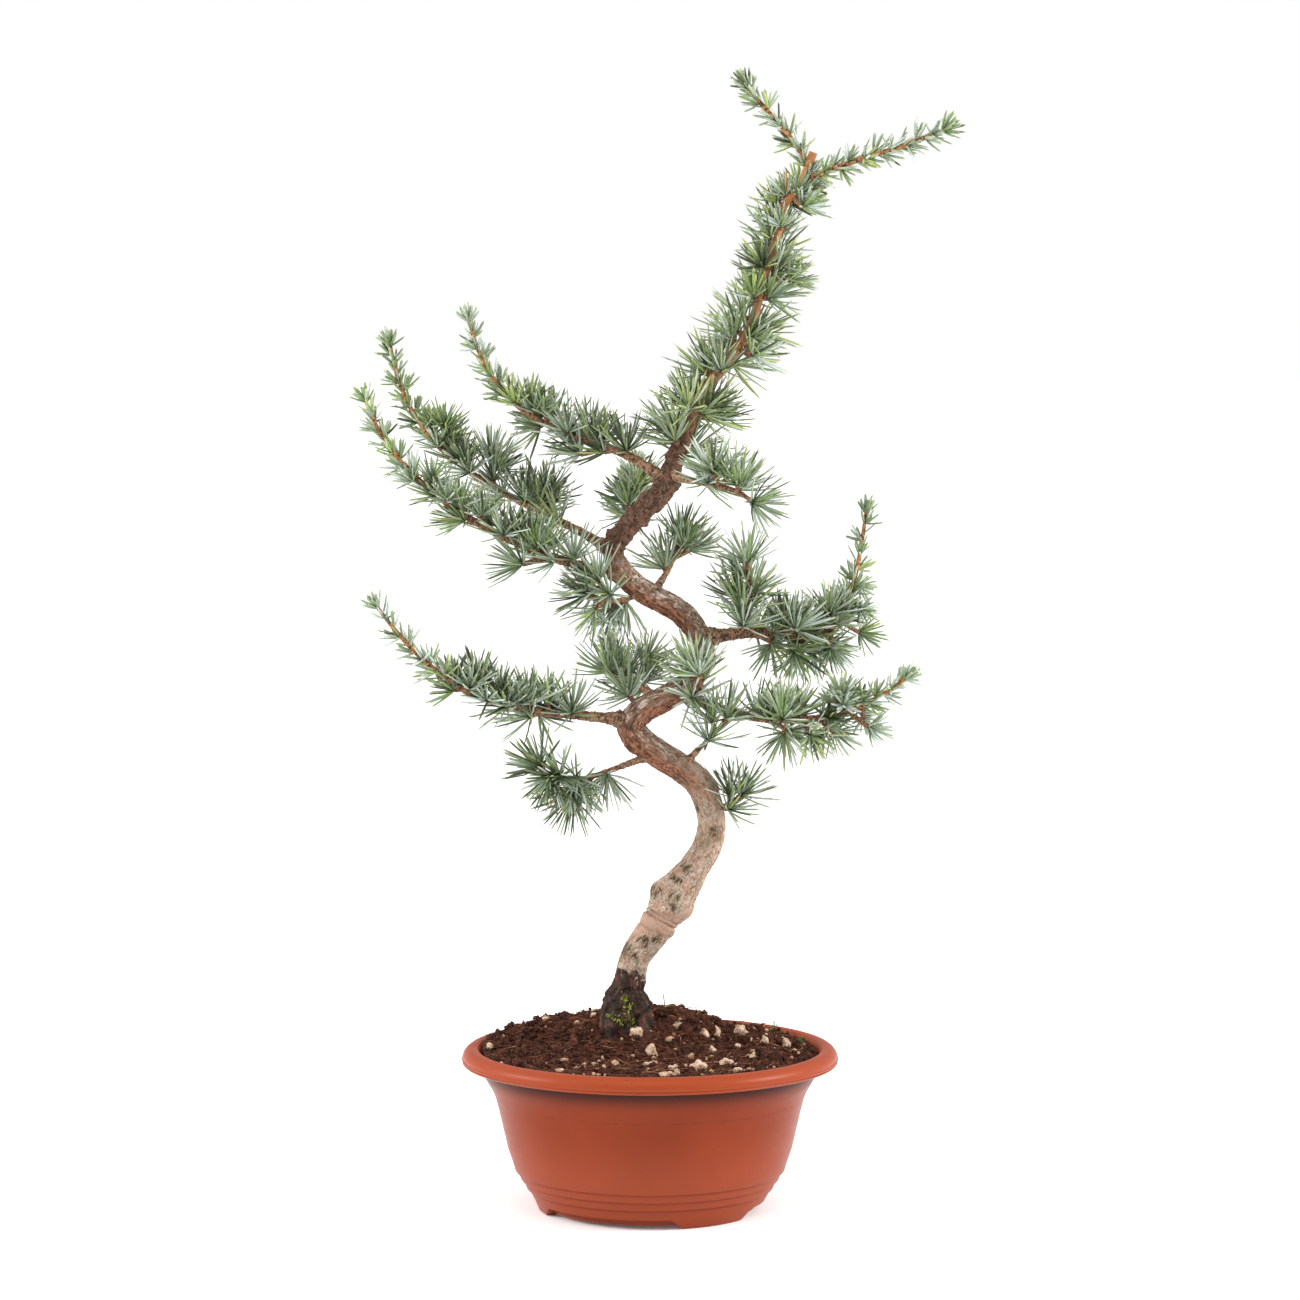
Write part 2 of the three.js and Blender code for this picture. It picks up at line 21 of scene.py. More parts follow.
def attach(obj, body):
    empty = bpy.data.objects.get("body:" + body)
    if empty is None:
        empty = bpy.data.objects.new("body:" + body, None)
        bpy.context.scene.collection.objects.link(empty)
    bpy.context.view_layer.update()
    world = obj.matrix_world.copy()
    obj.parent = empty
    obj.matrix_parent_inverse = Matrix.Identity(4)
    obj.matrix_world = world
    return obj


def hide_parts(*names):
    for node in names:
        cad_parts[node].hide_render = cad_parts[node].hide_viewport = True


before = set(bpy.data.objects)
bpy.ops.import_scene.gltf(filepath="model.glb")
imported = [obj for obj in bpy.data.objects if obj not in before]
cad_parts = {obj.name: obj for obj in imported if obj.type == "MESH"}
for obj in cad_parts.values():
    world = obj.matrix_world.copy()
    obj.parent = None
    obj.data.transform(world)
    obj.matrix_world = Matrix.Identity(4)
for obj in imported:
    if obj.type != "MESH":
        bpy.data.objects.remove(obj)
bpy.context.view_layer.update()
log = logging.getLogger("cedar")

Array = np.ndarray
Socket = bpy.types.NodeSocket
Material = bpy.types.Material
Mesh = bpy.types.Mesh
Chance = np.random.Generator
Span = tuple[float, float]
Rows = Sequence[Sequence[float]]
MM = 0.001
UP = np.array([0.0, 0.0, 1.0])
LEANING_UP = np.array([0.3, 0.1, 1.0])
GOLDEN_TURN = math.radians(137.5)
BODY = "root"


class Slot(Enum):
    """The record's material slots."""

    BOWL = "bowl_plastic"
    SOIL = "soil"
    BARK = "bark"
    BOUGH = "bough_bark"
    NEEDLES = "needles"


def srgb(red: int, green: int, blue: int) -> tuple[float, float, float, float]:
    """A colour as it is seen, from 0 to 255, as the linear colour that a shader takes.

    Args:
        red: how red it looks.
        green: how green it looks.
        blue: how blue it looks.

    Returns:
        The linear colour with full alpha.
    """
    seen = (np.array([red, green, blue]) / 255.0 + 0.055) / 1.055
    return (*(seen**2.4).tolist(), 1.0)


def unit(vectors: Array) -> Array:
    """The same directions at length one."""
    return vectors / np.maximum(np.linalg.norm(vectors, axis=-1, keepdims=True), 1e-9)


def mix(low: float, high: float, share: float | Array) -> float | Array:
    """The value that lies at a share of the way from low to high."""
    return low + (high - low) * share


def smooth(low: float, high: float, value: float | Array) -> float | Array:
    """An even rise from 0 at low to 1 at high, level at both ends."""
    share = np.clip((value - low) / (high - low), 0.0, 1.0)
    return share * share * (3.0 - 2.0 * share)


def lumps(points: Array, scale: float, seed: float = 0.0) -> Array:
    """Soft random relief at points in space.

    Args:
        points: the places, one row each.
        scale: the size of a lump.
        seed: moves the pattern, so that two uses differ.

    Returns:
        A value from about -1 to 1 for each place.
    """
    shift = Vector((seed, 0.37 * seed, -0.61 * seed))
    return np.array([noise.noise(Vector(point) / scale + shift) for point in points])


class Draws:
    """The seeded row of numbers from 0 to 1 that the plant's growth is drawn from."""

    def __init__(self, seed: int) -> None:
        """Starts the row that belongs to a seed."""
        self.state = ((seed + 1) * 2654435761) & 0xFFFFFFFF

    def __call__(self) -> float:
        """The next number of the row."""
        self.state = (self.state * 1664525 + 1013904223) & 0xFFFFFFFF
        return self.state / 2**32


class Curve:
    """A curve through space, read by a share of it from 0 to 1."""

    def point(self, share: float) -> Array:
        """The place at a share of the curve."""
        raise NotImplementedError

    def tangent(self, share: float) -> Array:
        """The direction at a share of the curve."""
        step = 1e-4
        return unit(self.point(min(share + step, 1.0)) - self.point(max(share - step, 0.0)))

    def length(self) -> float:
        """The length along the curve."""
        places = np.array([self.point(i / 200) for i in range(201)])
        return float(np.linalg.norm(np.diff(places, axis=0), axis=1).sum())


class Turns(Curve):
    """A smooth curve through a row of places."""

    def __init__(self, places: Rows) -> None:
        """Takes the places in order, of which the first three numbers count."""
        inner = np.array(places)[:, :3]
        self.places = np.vstack([2 * inner[0] - inner[1], inner, 2 * inner[-1] - inner[-2]])

    def point(self, share: float) -> Array:
        """The place at a share of the turns.

        Args:
            share: the share of the curve.

        Returns:
            The place.
        """
        turn = share * (len(self.places) - 3)
        low = min(int(turn), len(self.places) - 4)
        w = turn - low
        before, start, end, after = self.places[low : low + 4]
        leave, arrive = (end - before) / 2, (after - start) / 2
        return (
            start
            + leave * w
            + (3 * (end - start) - 2 * leave - arrive) * w**2
            + (2 * (start - end) + leave + arrive) * w**3
        )


class Bend(Curve):
    """A curve from a start past two elbows to a tip."""

    def __init__(self, start: Sequence[float], elbows: Rows, tip: Sequence[float]) -> None:
        """Takes the start, both elbows and the tip."""
        self.corners = np.array([start, *elbows, tip], dtype=float)

    def point(self, share: float) -> Array:
        """The place at a share of the curve."""
        rest = 1.0 - share
        weights = np.array([rest**3, 3 * share * rest**2, 3 * share**2 * rest, share**3])
        return weights @ self.corners


@dataclass(frozen=True)
class Frame:
    """A place on a curve with the directions along it and across it."""

    share: float
    centre: Array
    forward: Array
    side: Array
    over: Array

    def out(self, turn: float) -> Array:
        """The direction across the curve at a turn round it."""
        return self.side * math.cos(turn) + self.over * math.sin(turn)


def frames_along(curve: Curve, shares: Iterable[float]) -> list[Frame]:
    """Frames along a curve, each turned as little as can be from the last.

    Args:
        curve: the curve.
        shares: where on it the frames stand.

    Returns:
        One frame for each share.
    """
    frames: list[Frame] = []
    side = None
    for share in shares:
        forward = curve.tangent(share)
        if side is None:
            side = np.eye(3)[int(np.argmin(np.abs(forward)))]
        side = unit(side - forward * (side @ forward))
        frames.append(Frame(share, curve.point(share), forward, side, np.cross(side, forward)))
    return frames


def columns(frames: Sequence[Frame], *parts: str) -> list[Array]:
    """Parts of frames by their names, as one array each."""
    return [np.array([getattr(stand, part) for stand in frames]) for part in parts]


def shares_between(curve: Curve, low: float, high: float, step: float) -> Array:
    """Even shares from one share of a curve to another, about a step apart."""
    count = max(1, math.floor(curve.length() * (high - low) / step + 0.5))
    return np.linspace(low, high, count + 1)


def bones_of(frames: Sequence[Frame], radius: Callable[[float], float]) -> Array:
    """The centre lines between frames, as rows of start, end and radius."""
    rows = [(*a.centre, *b.centre, radius(b.share)) for a, b in zip(frames, frames[1:])]
    return np.array(rows).reshape(-1, 7)


def square_to(aim: Array) -> tuple[Array, Array]:
    """Two directions square to an aim and to each other."""
    side = unit(np.cross(aim, LEANING_UP))
    return side, np.cross(aim, side)


def sideways(vectors: Array, aims: Array) -> Array:
    """What is left of vectors across their aims."""
    return vectors - aims * (vectors * aims).sum(axis=1, keepdims=True)


def nearest(bones: Array, points: Array) -> Array:
    """How far points lie from the nearest limb.

    Args:
        bones: rows of start, end and radius.
        points: the places, one row each.

    Returns:
        The distance from each place to the nearest limb's surface.
    """
    least = np.full(len(points), np.inf)
    for bone in bones:
        start, line, radius = bone[:3], bone[3:6] - bone[:3], bone[6]
        share = np.clip((points - start) @ line / max(line @ line, 1e-9), 0.0, 1.0)
        gap = np.linalg.norm(points - start - share[:, None] * line, axis=1) - radius
        np.minimum(least, gap, out=least)
    return least


@dataclass(frozen=True)
class Shape:
    """The corners and faces of a small closed shape that copies are made from."""

    corners: Array
    faces: tuple[tuple[int, ...], ...]

    @classmethod
    def of(cls, bm: bmesh.types.BMesh) -> "Shape":
        """Takes a shape out of a bmesh.

        Args:
            bm: the bmesh, which is freed.

        Returns:
            The shape.
        """
        bm.verts.index_update()
        corners = np.array([vert.co for vert in bm.verts])
        faces = tuple(tuple(vert.index for vert in face.verts) for face in bm.faces)
        bm.free()
        return cls(corners, faces)

    def ring(self, rings: int) -> Array:
        """The number of each corner's ring in a unit tube, from its foot up."""
        return np.rint(self.corners[:, 2] * rings).astype(int)

    def around(self) -> Array:
        """Each corner's turn round the upright axis."""
        return np.arctan2(self.corners[:, 1], self.corners[:, 0])


def unit_tube(sides: int, rings: int, pointed: bool = False) -> Shape:
    """A closed tube of radius one that stands from height zero to one.

    Args:
        sides: how many flat sides its wall has.
        rings: how many rings of faces its wall has.
        pointed: whether its top is drawn to a point.

    Returns:
        The shape, with its base centre at the origin.
    """
    bm = bmesh.new()
    bmesh.ops.create_cone(bm, cap_ends=True, segments=sides, radius1=1, radius2=1, depth=1,
                          matrix=Matrix.Translation((0, 0, 0.5)))
    if rings > 1:
        upright = [e for e in bm.edges if abs(e.verts[0].co.z - e.verts[1].co.z) > 0.5]
        bmesh.ops.subdivide_edges(bm, edges=upright, cuts=rings - 1)
    if pointed:
        top = [vert for vert in bm.verts if vert.co.z > 1 - 1e-5]
        bmesh.ops.pointmerge(bm, verts=top, merge_co=(0, 0, 1))
    return Shape.of(bm)


def unit_ball(divisions: int) -> Shape:
    """A ball of radius one, of 20 faces at one division and 80 at two."""
    bm = bmesh.new()
    bmesh.ops.create_icosphere(bm, subdivisions=divisions, radius=1)
    return Shape.of(bm)


class Heap:
    """Gathers copies of shapes that become one joined mesh."""

    def __init__(self) -> None:
        """Starts empty."""
        self.corners: list[Array] = []
        self.faces: list[tuple[int, ...]] = []
        self.slots: list[int] = []
        self.marks: dict[str, list[Array]] = {}
        self.size = 0

    def add(self, shape: Shape, places: Array, slots: Sequence[int] | int = 0,
            **marks: Array) -> None:
        """Adds copies of a shape.

        Args:
            shape: the shape whose faces are copied.
            places: where the corners of each copy lie, as copies by corners by three.
            slots: the material of each face of the shape, or of all of them.
            marks: values at the corners that the finish reads by name.
        """
        for mark, values in marks.items():
            self.marks.setdefault(mark, []).append(values)
        places = places.reshape(-1, len(shape.corners), 3)
        worn = [slots] * len(shape.faces) if isinstance(slots, int) else list(slots)
        for copy in range(len(places)):
            base = self.size + copy * len(shape.corners)
            self.faces.extend(tuple(base + i for i in face) for face in shape.faces)
            self.slots.extend(worn)
        self.corners.append(places.reshape(-1, 3))
        self.size += places.shape[0] * places.shape[1]

    def mesh(self, name: str) -> Mesh:
        """The joined mesh, in metres and shaded smooth.

        Args:
            name: the mesh's name.

        Returns:
            The mesh.
        """
        mesh = bpy.data.meshes.new(name)
        mesh.from_pydata((np.vstack(self.corners) * MM).tolist(), [], self.faces)
        for mark, parts in self.marks.items():
            values = np.concatenate(parts)
            kind, key = ("FLOAT", "value") if values.ndim == 1 else ("FLOAT_VECTOR", "vector")
            mesh.attributes.new(mark, kind, "POINT").data.foreach_set(key, values.ravel())
        mesh.polygons.foreach_set("material_index", self.slots)
        mesh.polygons.foreach_set("use_smooth", [True] * len(mesh.polygons))
        return mesh


def show(name: str, mesh: Mesh, slot: Slot, materials: Sequence[Material],
         nodes: Sequence[str] = ()) -> bpy.types.Object:
    """Shows a mesh as a piece of the plant.

    Args:
        name: the piece's name.
        mesh: its mesh, in the plant's own frame.
        slot: the record's slot that its finish belongs to; not used.
        materials: the materials that its faces wear, in order.
        nodes: the plain solids that it stands for.

    Returns:
        The piece, which rides on the plant's one body.
    """
    piece = bpy.data.objects.new(name, mesh)
    bpy.context.scene.collection.objects.link(piece)
    for material in materials:
        mesh.materials.append(material)
    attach(piece, BODY)
    if nodes:
        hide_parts(*nodes)
    log.info("%s: %d faces", name, len(mesh.polygons))
    return piece


def finished(bm: bmesh.types.BMesh, name: str, crease: float = 180.0) -> Mesh:
    """A bmesh as a mesh in metres that faces outwards and is shaded smooth.

    Args:
        bm: the bmesh in millimetres, which is freed.
        name: the mesh's name.
        crease: the angle from which an edge is shaded sharp.

    Returns:
        The mesh.
    """
    bmesh.ops.recalc_face_normals(bm, faces=bm.faces)
    bmesh.ops.scale(bm, vec=(MM, MM, MM), verts=bm.verts)
    for face in bm.faces:
        face.smooth = True
    for edge in bm.edges:
        edge.smooth = edge.calc_face_angle(0) < math.radians(crease)
    mesh = bpy.data.meshes.new(name)
    bm.to_mesh(mesh)
    bm.free()
    return mesh


def put_on(shape: Shape, frames: Sequence[Frame], radii: Array) -> Array:
    """Lays a unit tube along frames, one for each of its rings of corners.

    Args:
        shape: the unit tube.
        frames: one frame for each ring of corners, from its foot up.
        radii: the radius at each corner.

    Returns:
        The corners' places.
    """
    ring, turn = shape.ring(len(frames) - 1), shape.around()
    reach = radii * np.minimum(np.hypot(shape.corners[:, 0], shape.corners[:, 1]), 1.0)
    centre, side, over = (part[ring] for part in columns(frames, "centre", "side", "over"))
    return centre + side * (reach * np.cos(turn))[:, None] - over * (reach * np.sin(turn))[:, None]


def strands(shape: Shape, roots: Array, aims: Array, bends: Array, lengths: Array, widths: Array,
            profile: Rows) -> Array:
    """Lays copies of a unit tube as thin curved strands.

    Args:
        shape: the unit tube.
        roots: where each strand starts.
        aims: the direction in which each leaves its root.
        bends: how far sideways each has curved at its end, as a share of its length.
        lengths: how long each is.
        widths: how wide and how thick each is, as two columns.
        profile: for each ring of corners, its height and its width as shares.

    Returns:
        The corners of the copies, as strands by corners by three.
    """
    height, width = np.array(profile)[shape.ring(len(profile) - 1)].T
    across = unit(np.cross(aims, bends + 1e-4 * UP))
    above = np.cross(across, aims)
    spread = shape.corners[:, 0] * width, shape.corners[:, 1] * width
    return (
        roots[:, None]
        + (lengths[:, None] * height)[..., None] * aims[:, None]
        + (lengths[:, None] * height**2)[..., None] * bends[:, None]
        + (widths[:, :1] / 2 * spread[0])[..., None] * across[:, None]
        - (widths[:, 1:] / 2 * spread[1])[..., None] * above[:, None]
    )


class Nodes:
    """A tree of shader nodes."""

    def __init__(self, tree: bpy.types.NodeTree) -> None:
        """Takes the tree."""
        self.nodes, self.links = tree.nodes, tree.links

    def give(self, socket: Socket, value: object) -> None:
        """Gives a socket another node's output or a plain value."""
        if isinstance(value, Socket):
            self.links.new(value, socket)
        else:
            socket.default_value = value

    def node(self, kind: str, inputs: dict, **settings: object) -> bpy.types.Node:
        """Adds a node.

        Args:
            kind: the node's type, without its prefix.
            inputs: what its sockets take, by name or by number.
            settings: the node's own settings.

        Returns:
            The node.
        """
        made = self.nodes.new(f"ShaderNode{kind}")
        for key, value in settings.items():
            setattr(made, key, value)
        for key, value in inputs.items():
            self.give(made.inputs[key], value)
        return made

    def between(self, value: Socket, low: float, high: float, top: float = 1.0) -> Socket:
        """0 where a value is at or below low, and the top where it is at or above high."""
        inputs = {"Value": value, "From Min": low, "From Max": high, "To Max": top}
        return self.node("MapRange", inputs, interpolation_type="SMOOTHSTEP").outputs["Result"]

    def maths(self, operation: str, a: object, b: object = 0.0) -> Socket:
        """A sum, product or the like of two values."""
        return self.node("Math", {0: a, 1: b}, operation=operation).outputs[0]

    def times(self, *values: object) -> Socket:
        """The product of several values."""
        return reduce(lambda total, value: self.maths("MULTIPLY", total, value), values)

    def blend(self, share: object, a: object, b: object) -> Socket:
        """The colour at a share of the way from a to b."""
        return self.node("Mix", {0: share, 6: a, 7: b}, data_type="RGBA").outputs[2]


class Graph(Nodes):
    """A material's nodes round one Principled shader, and its colour as painted so far."""

    def __init__(self, name: str, colour: tuple, rough: float, shine: float, **more: float | tuple) -> None:
        """Starts a material.

        Args:
            name: the material's name.
            colour: the colour that others are painted over.
            rough: its roughness.
            shine: its specular level.
            more: plain values for other sockets of the shader, with _ for a space.
        """
        self.material = bpy.data.materials.new(name)
        self.material.use_nodes = True
        super().__init__(self.material.node_tree)
        self.shader = self.nodes["Principled BSDF"]
        self.colour: tuple | Socket = colour
        for key, value in {"Roughness": rough, "Specular_IOR_Level": shine, **more}.items():
            self.shader.inputs[key.replace("_", " ")].default_value = value

    @cached_property
    def place(self) -> Socket:
        """The place on the piece, in metres."""
        return self.node("TexCoord", {}).outputs["Object"]

    @cached_property
    def height(self) -> Socket:
        """The height above the ground, in metres."""
        return self.node("SeparateXYZ", {"Vector": self.place}).outputs["Z"]

    def mark(self, name: str, output: str = "Fac") -> Socket:
        """A value that the piece's own mesh holds under a name."""
        return self.node("Attribute", {}, attribute_name=name).outputs[output]

    def scaled(self, place: Socket, *scale: float) -> Socket:
        """A place whose axes are scaled, so that patterns on it are drawn out."""
        return self.node("Mapping", {"Vector": place, "Scale": scale}).outputs["Vector"]

    def drawn(self, long: float, wide: float = 1.0) -> Socket:
        """The place on the trunk as if it were straight, scaled along it and across it."""
        return self.scaled(self.mark("along", "Vector"), wide, wide, long)

    def noise(self, size: float, detail: float = 3.0, rough: float = 0.55, place: Socket | None = None,
              ragged: float = 0.0) -> Socket:
        """Noise from 0 to 1 in lumps of about a size in millimetres, ragged at their edges."""
        inputs = {"Vector": place or self.place, "Scale": 1 / (size * MM), "Detail": detail,
                  "Roughness": rough, "Distortion": ragged}
        return self.node("TexNoise", inputs).outputs["Fac"]

    def patches(self, low: float, high: float, *pattern: float | Socket | None) -> Socket:
        """Patches of noise, 0 where it is at or below low and 1 where it is at or above high."""
        return self.between(self.noise(*pattern), low, high)

    def cells(self, size: float, place: Socket | None = None) -> Socket:
        """The distance to the nearest of random points about a size in millimetres apart."""
        inputs = {"Vector": place or self.place, "Scale": 1 / (size * MM)}
        return self.node("TexVoronoi", inputs).outputs["Distance"]

    def rest(self, value: Socket) -> Socket:
        """What a value leaves of 1."""
        return self.maths("SUBTRACT", 1.0, value)

    def outside(self, value: Socket, low: float, high: float) -> Socket:
        """1 where a value is at or below low and 0 where it is at or above high."""
        return self.rest(self.between(value, low, high))

    def above(self, low: float, high: float) -> Socket:
        """0 up to a low height and 1 from a high one up, both in millimetres."""
        return self.between(self.height, low * MM, high * MM)

    def below(self, low: float, high: float) -> Socket:
        """1 up to a low height and 0 from a high one up, both in millimetres."""
        return self.rest(self.above(low, high))

    def belt(self, low: float, full: float, fading: float, high: float) -> Socket:
        """A belt between two heights in millimetres, with a soft edge below and above."""
        return self.times(self.above(low, full), self.below(fading, high))

    def off(self, place: Socket, *centre: float) -> Socket:
        """How far a place lies from a centre given in millimetres, in metres."""
        inputs = {0: place, 1: [value * MM for value in centre]}
        return self.node("VectorMath", inputs, operation="DISTANCE").outputs["Value"]

    def paint(self, colour: object, *shares: object) -> None:
        """Lays a colour over the rest, as strong as the product of some shares."""
        self.colour = self.blend(self.times(*shares), self.colour, colour)

    def finish(self, bump: Socket | None = None, depth: float = 0.0,
               rough: Socket | None = None) -> Material:
        """Joins the colour and the patterns to the shader.

        Args:
            bump: the relief, where there is one.
            depth: how deep the relief is, in millimetres.
            rough: the roughness, where it varies.

        Returns:
            The finished material.
        """
        self.give(self.shader.inputs["Base Color"], self.colour)
        if rough is not None:
            self.give(self.shader.inputs["Roughness"], rough)
        if bump is not None:
            made = self.node("Bump", {"Height": bump, "Distance": depth * MM, "Strength": 1.0})
            self.give(self.shader.inputs["Normal"], made.outputs["Normal"])
        return self.material


@dataclass(frozen=True)
class BowlPlastic:
    """Satin moulded plastic the colour of terracotta, with specks and scuffs."""

    clay: tuple = srgb(125, 46, 15)
    shade: tuple = srgb(119, 43, 13)
    floor_light_and_dust: tuple = srgb(140, 62, 36)
    rim: tuple = srgb(141, 57, 25)
    painted_rim_shadow: tuple = srgb(30, 9, 5)
    dirt: tuple = srgb(58, 32, 25)
    groove_shade_and_dirt: tuple = srgb(126, 47, 27)
    lip_reach: float = 103.4
    lip_height: float = 90.4
    tide_height: float = 65.7
    tide_width: float = 0.35
    grooves: Sequence[float] = (12.1, 17.3, 22.5)
    groove_width: float = 0.8

    def line(self, graph: Graph, height: float, width: float) -> Socket:
        """A fine level line round the bowl, 1 at its height and 0 beyond its width."""
        off = graph.maths("ABSOLUTE", graph.maths("SUBTRACT", graph.height, height * MM))
        return graph.outside(off, 0.3 * width * MM, width * MM)

    def plastic(self, graph: Graph) -> None:
        """Paints the plastic, with painted light on the rim and low down and a painted shadow under the rim.

        Args:
            graph: the material's nodes.
        """
        graph.paint(self.shade, graph.patches(0.35, 0.68, 38, 4))
        # Paler towards the bottom: painted light from the floor, with some dust.
        graph.paint(self.floor_light_and_dust, graph.below(20, 62), 0.85)
        reach = graph.off(graph.scaled(graph.place, 1, 1, 0), 0, 0, 0)
        wall = graph.times(graph.outside(reach, self.lip_reach * MM, (self.lip_reach + 1) * MM),
                           graph.below(self.lip_height - 1, self.lip_height))
        # Painted light: the rim takes a lighter tone than the wall, as the lit part of the same plastic.
        graph.paint(self.rim, graph.rest(wall))
        # Painted shadow: the wall just under the rim is darkened nearly to black, as the rim's shade.
        under = graph.times(graph.above(67, 85), wall)
        graph.paint(self.painted_rim_shadow, under, under, 0.95)

    def material(self) -> Material:
        """The plastic's material."""
        graph = Graph("bowl_plastic", self.clay, 0.36, 0.15)
        self.plastic(graph)
        # Painted shade with some dirt: darker fine lines at the grooves between the steps.
        for height in self.grooves:
            graph.paint(self.groove_shade_and_dirt, self.line(graph, height, self.groove_width), 0.5)
        tide = self.line(graph, self.tide_height, self.tide_width)
        graph.paint(self.dirt, tide, graph.patches(0.42, 0.62, 9, 2), 0.6)
        speck = graph.outside(graph.cells(5.5), 0.045, 0.085)
        graph.paint(self.dirt, speck, graph.patches(0.48, 0.58, 16, 1), 0.85)
        scuffs = graph.noise(5, 5, 0.7, graph.scaled(graph.place, 0.25, 0.25, 1.4), 0.6)
        rough = graph.node("MapRange", {"Value": scuffs, "To Min": 0.28, "To Max": 0.5})
        return graph.finish(graph.noise(1.1, 4), 0.03, rough.outputs["Result"])


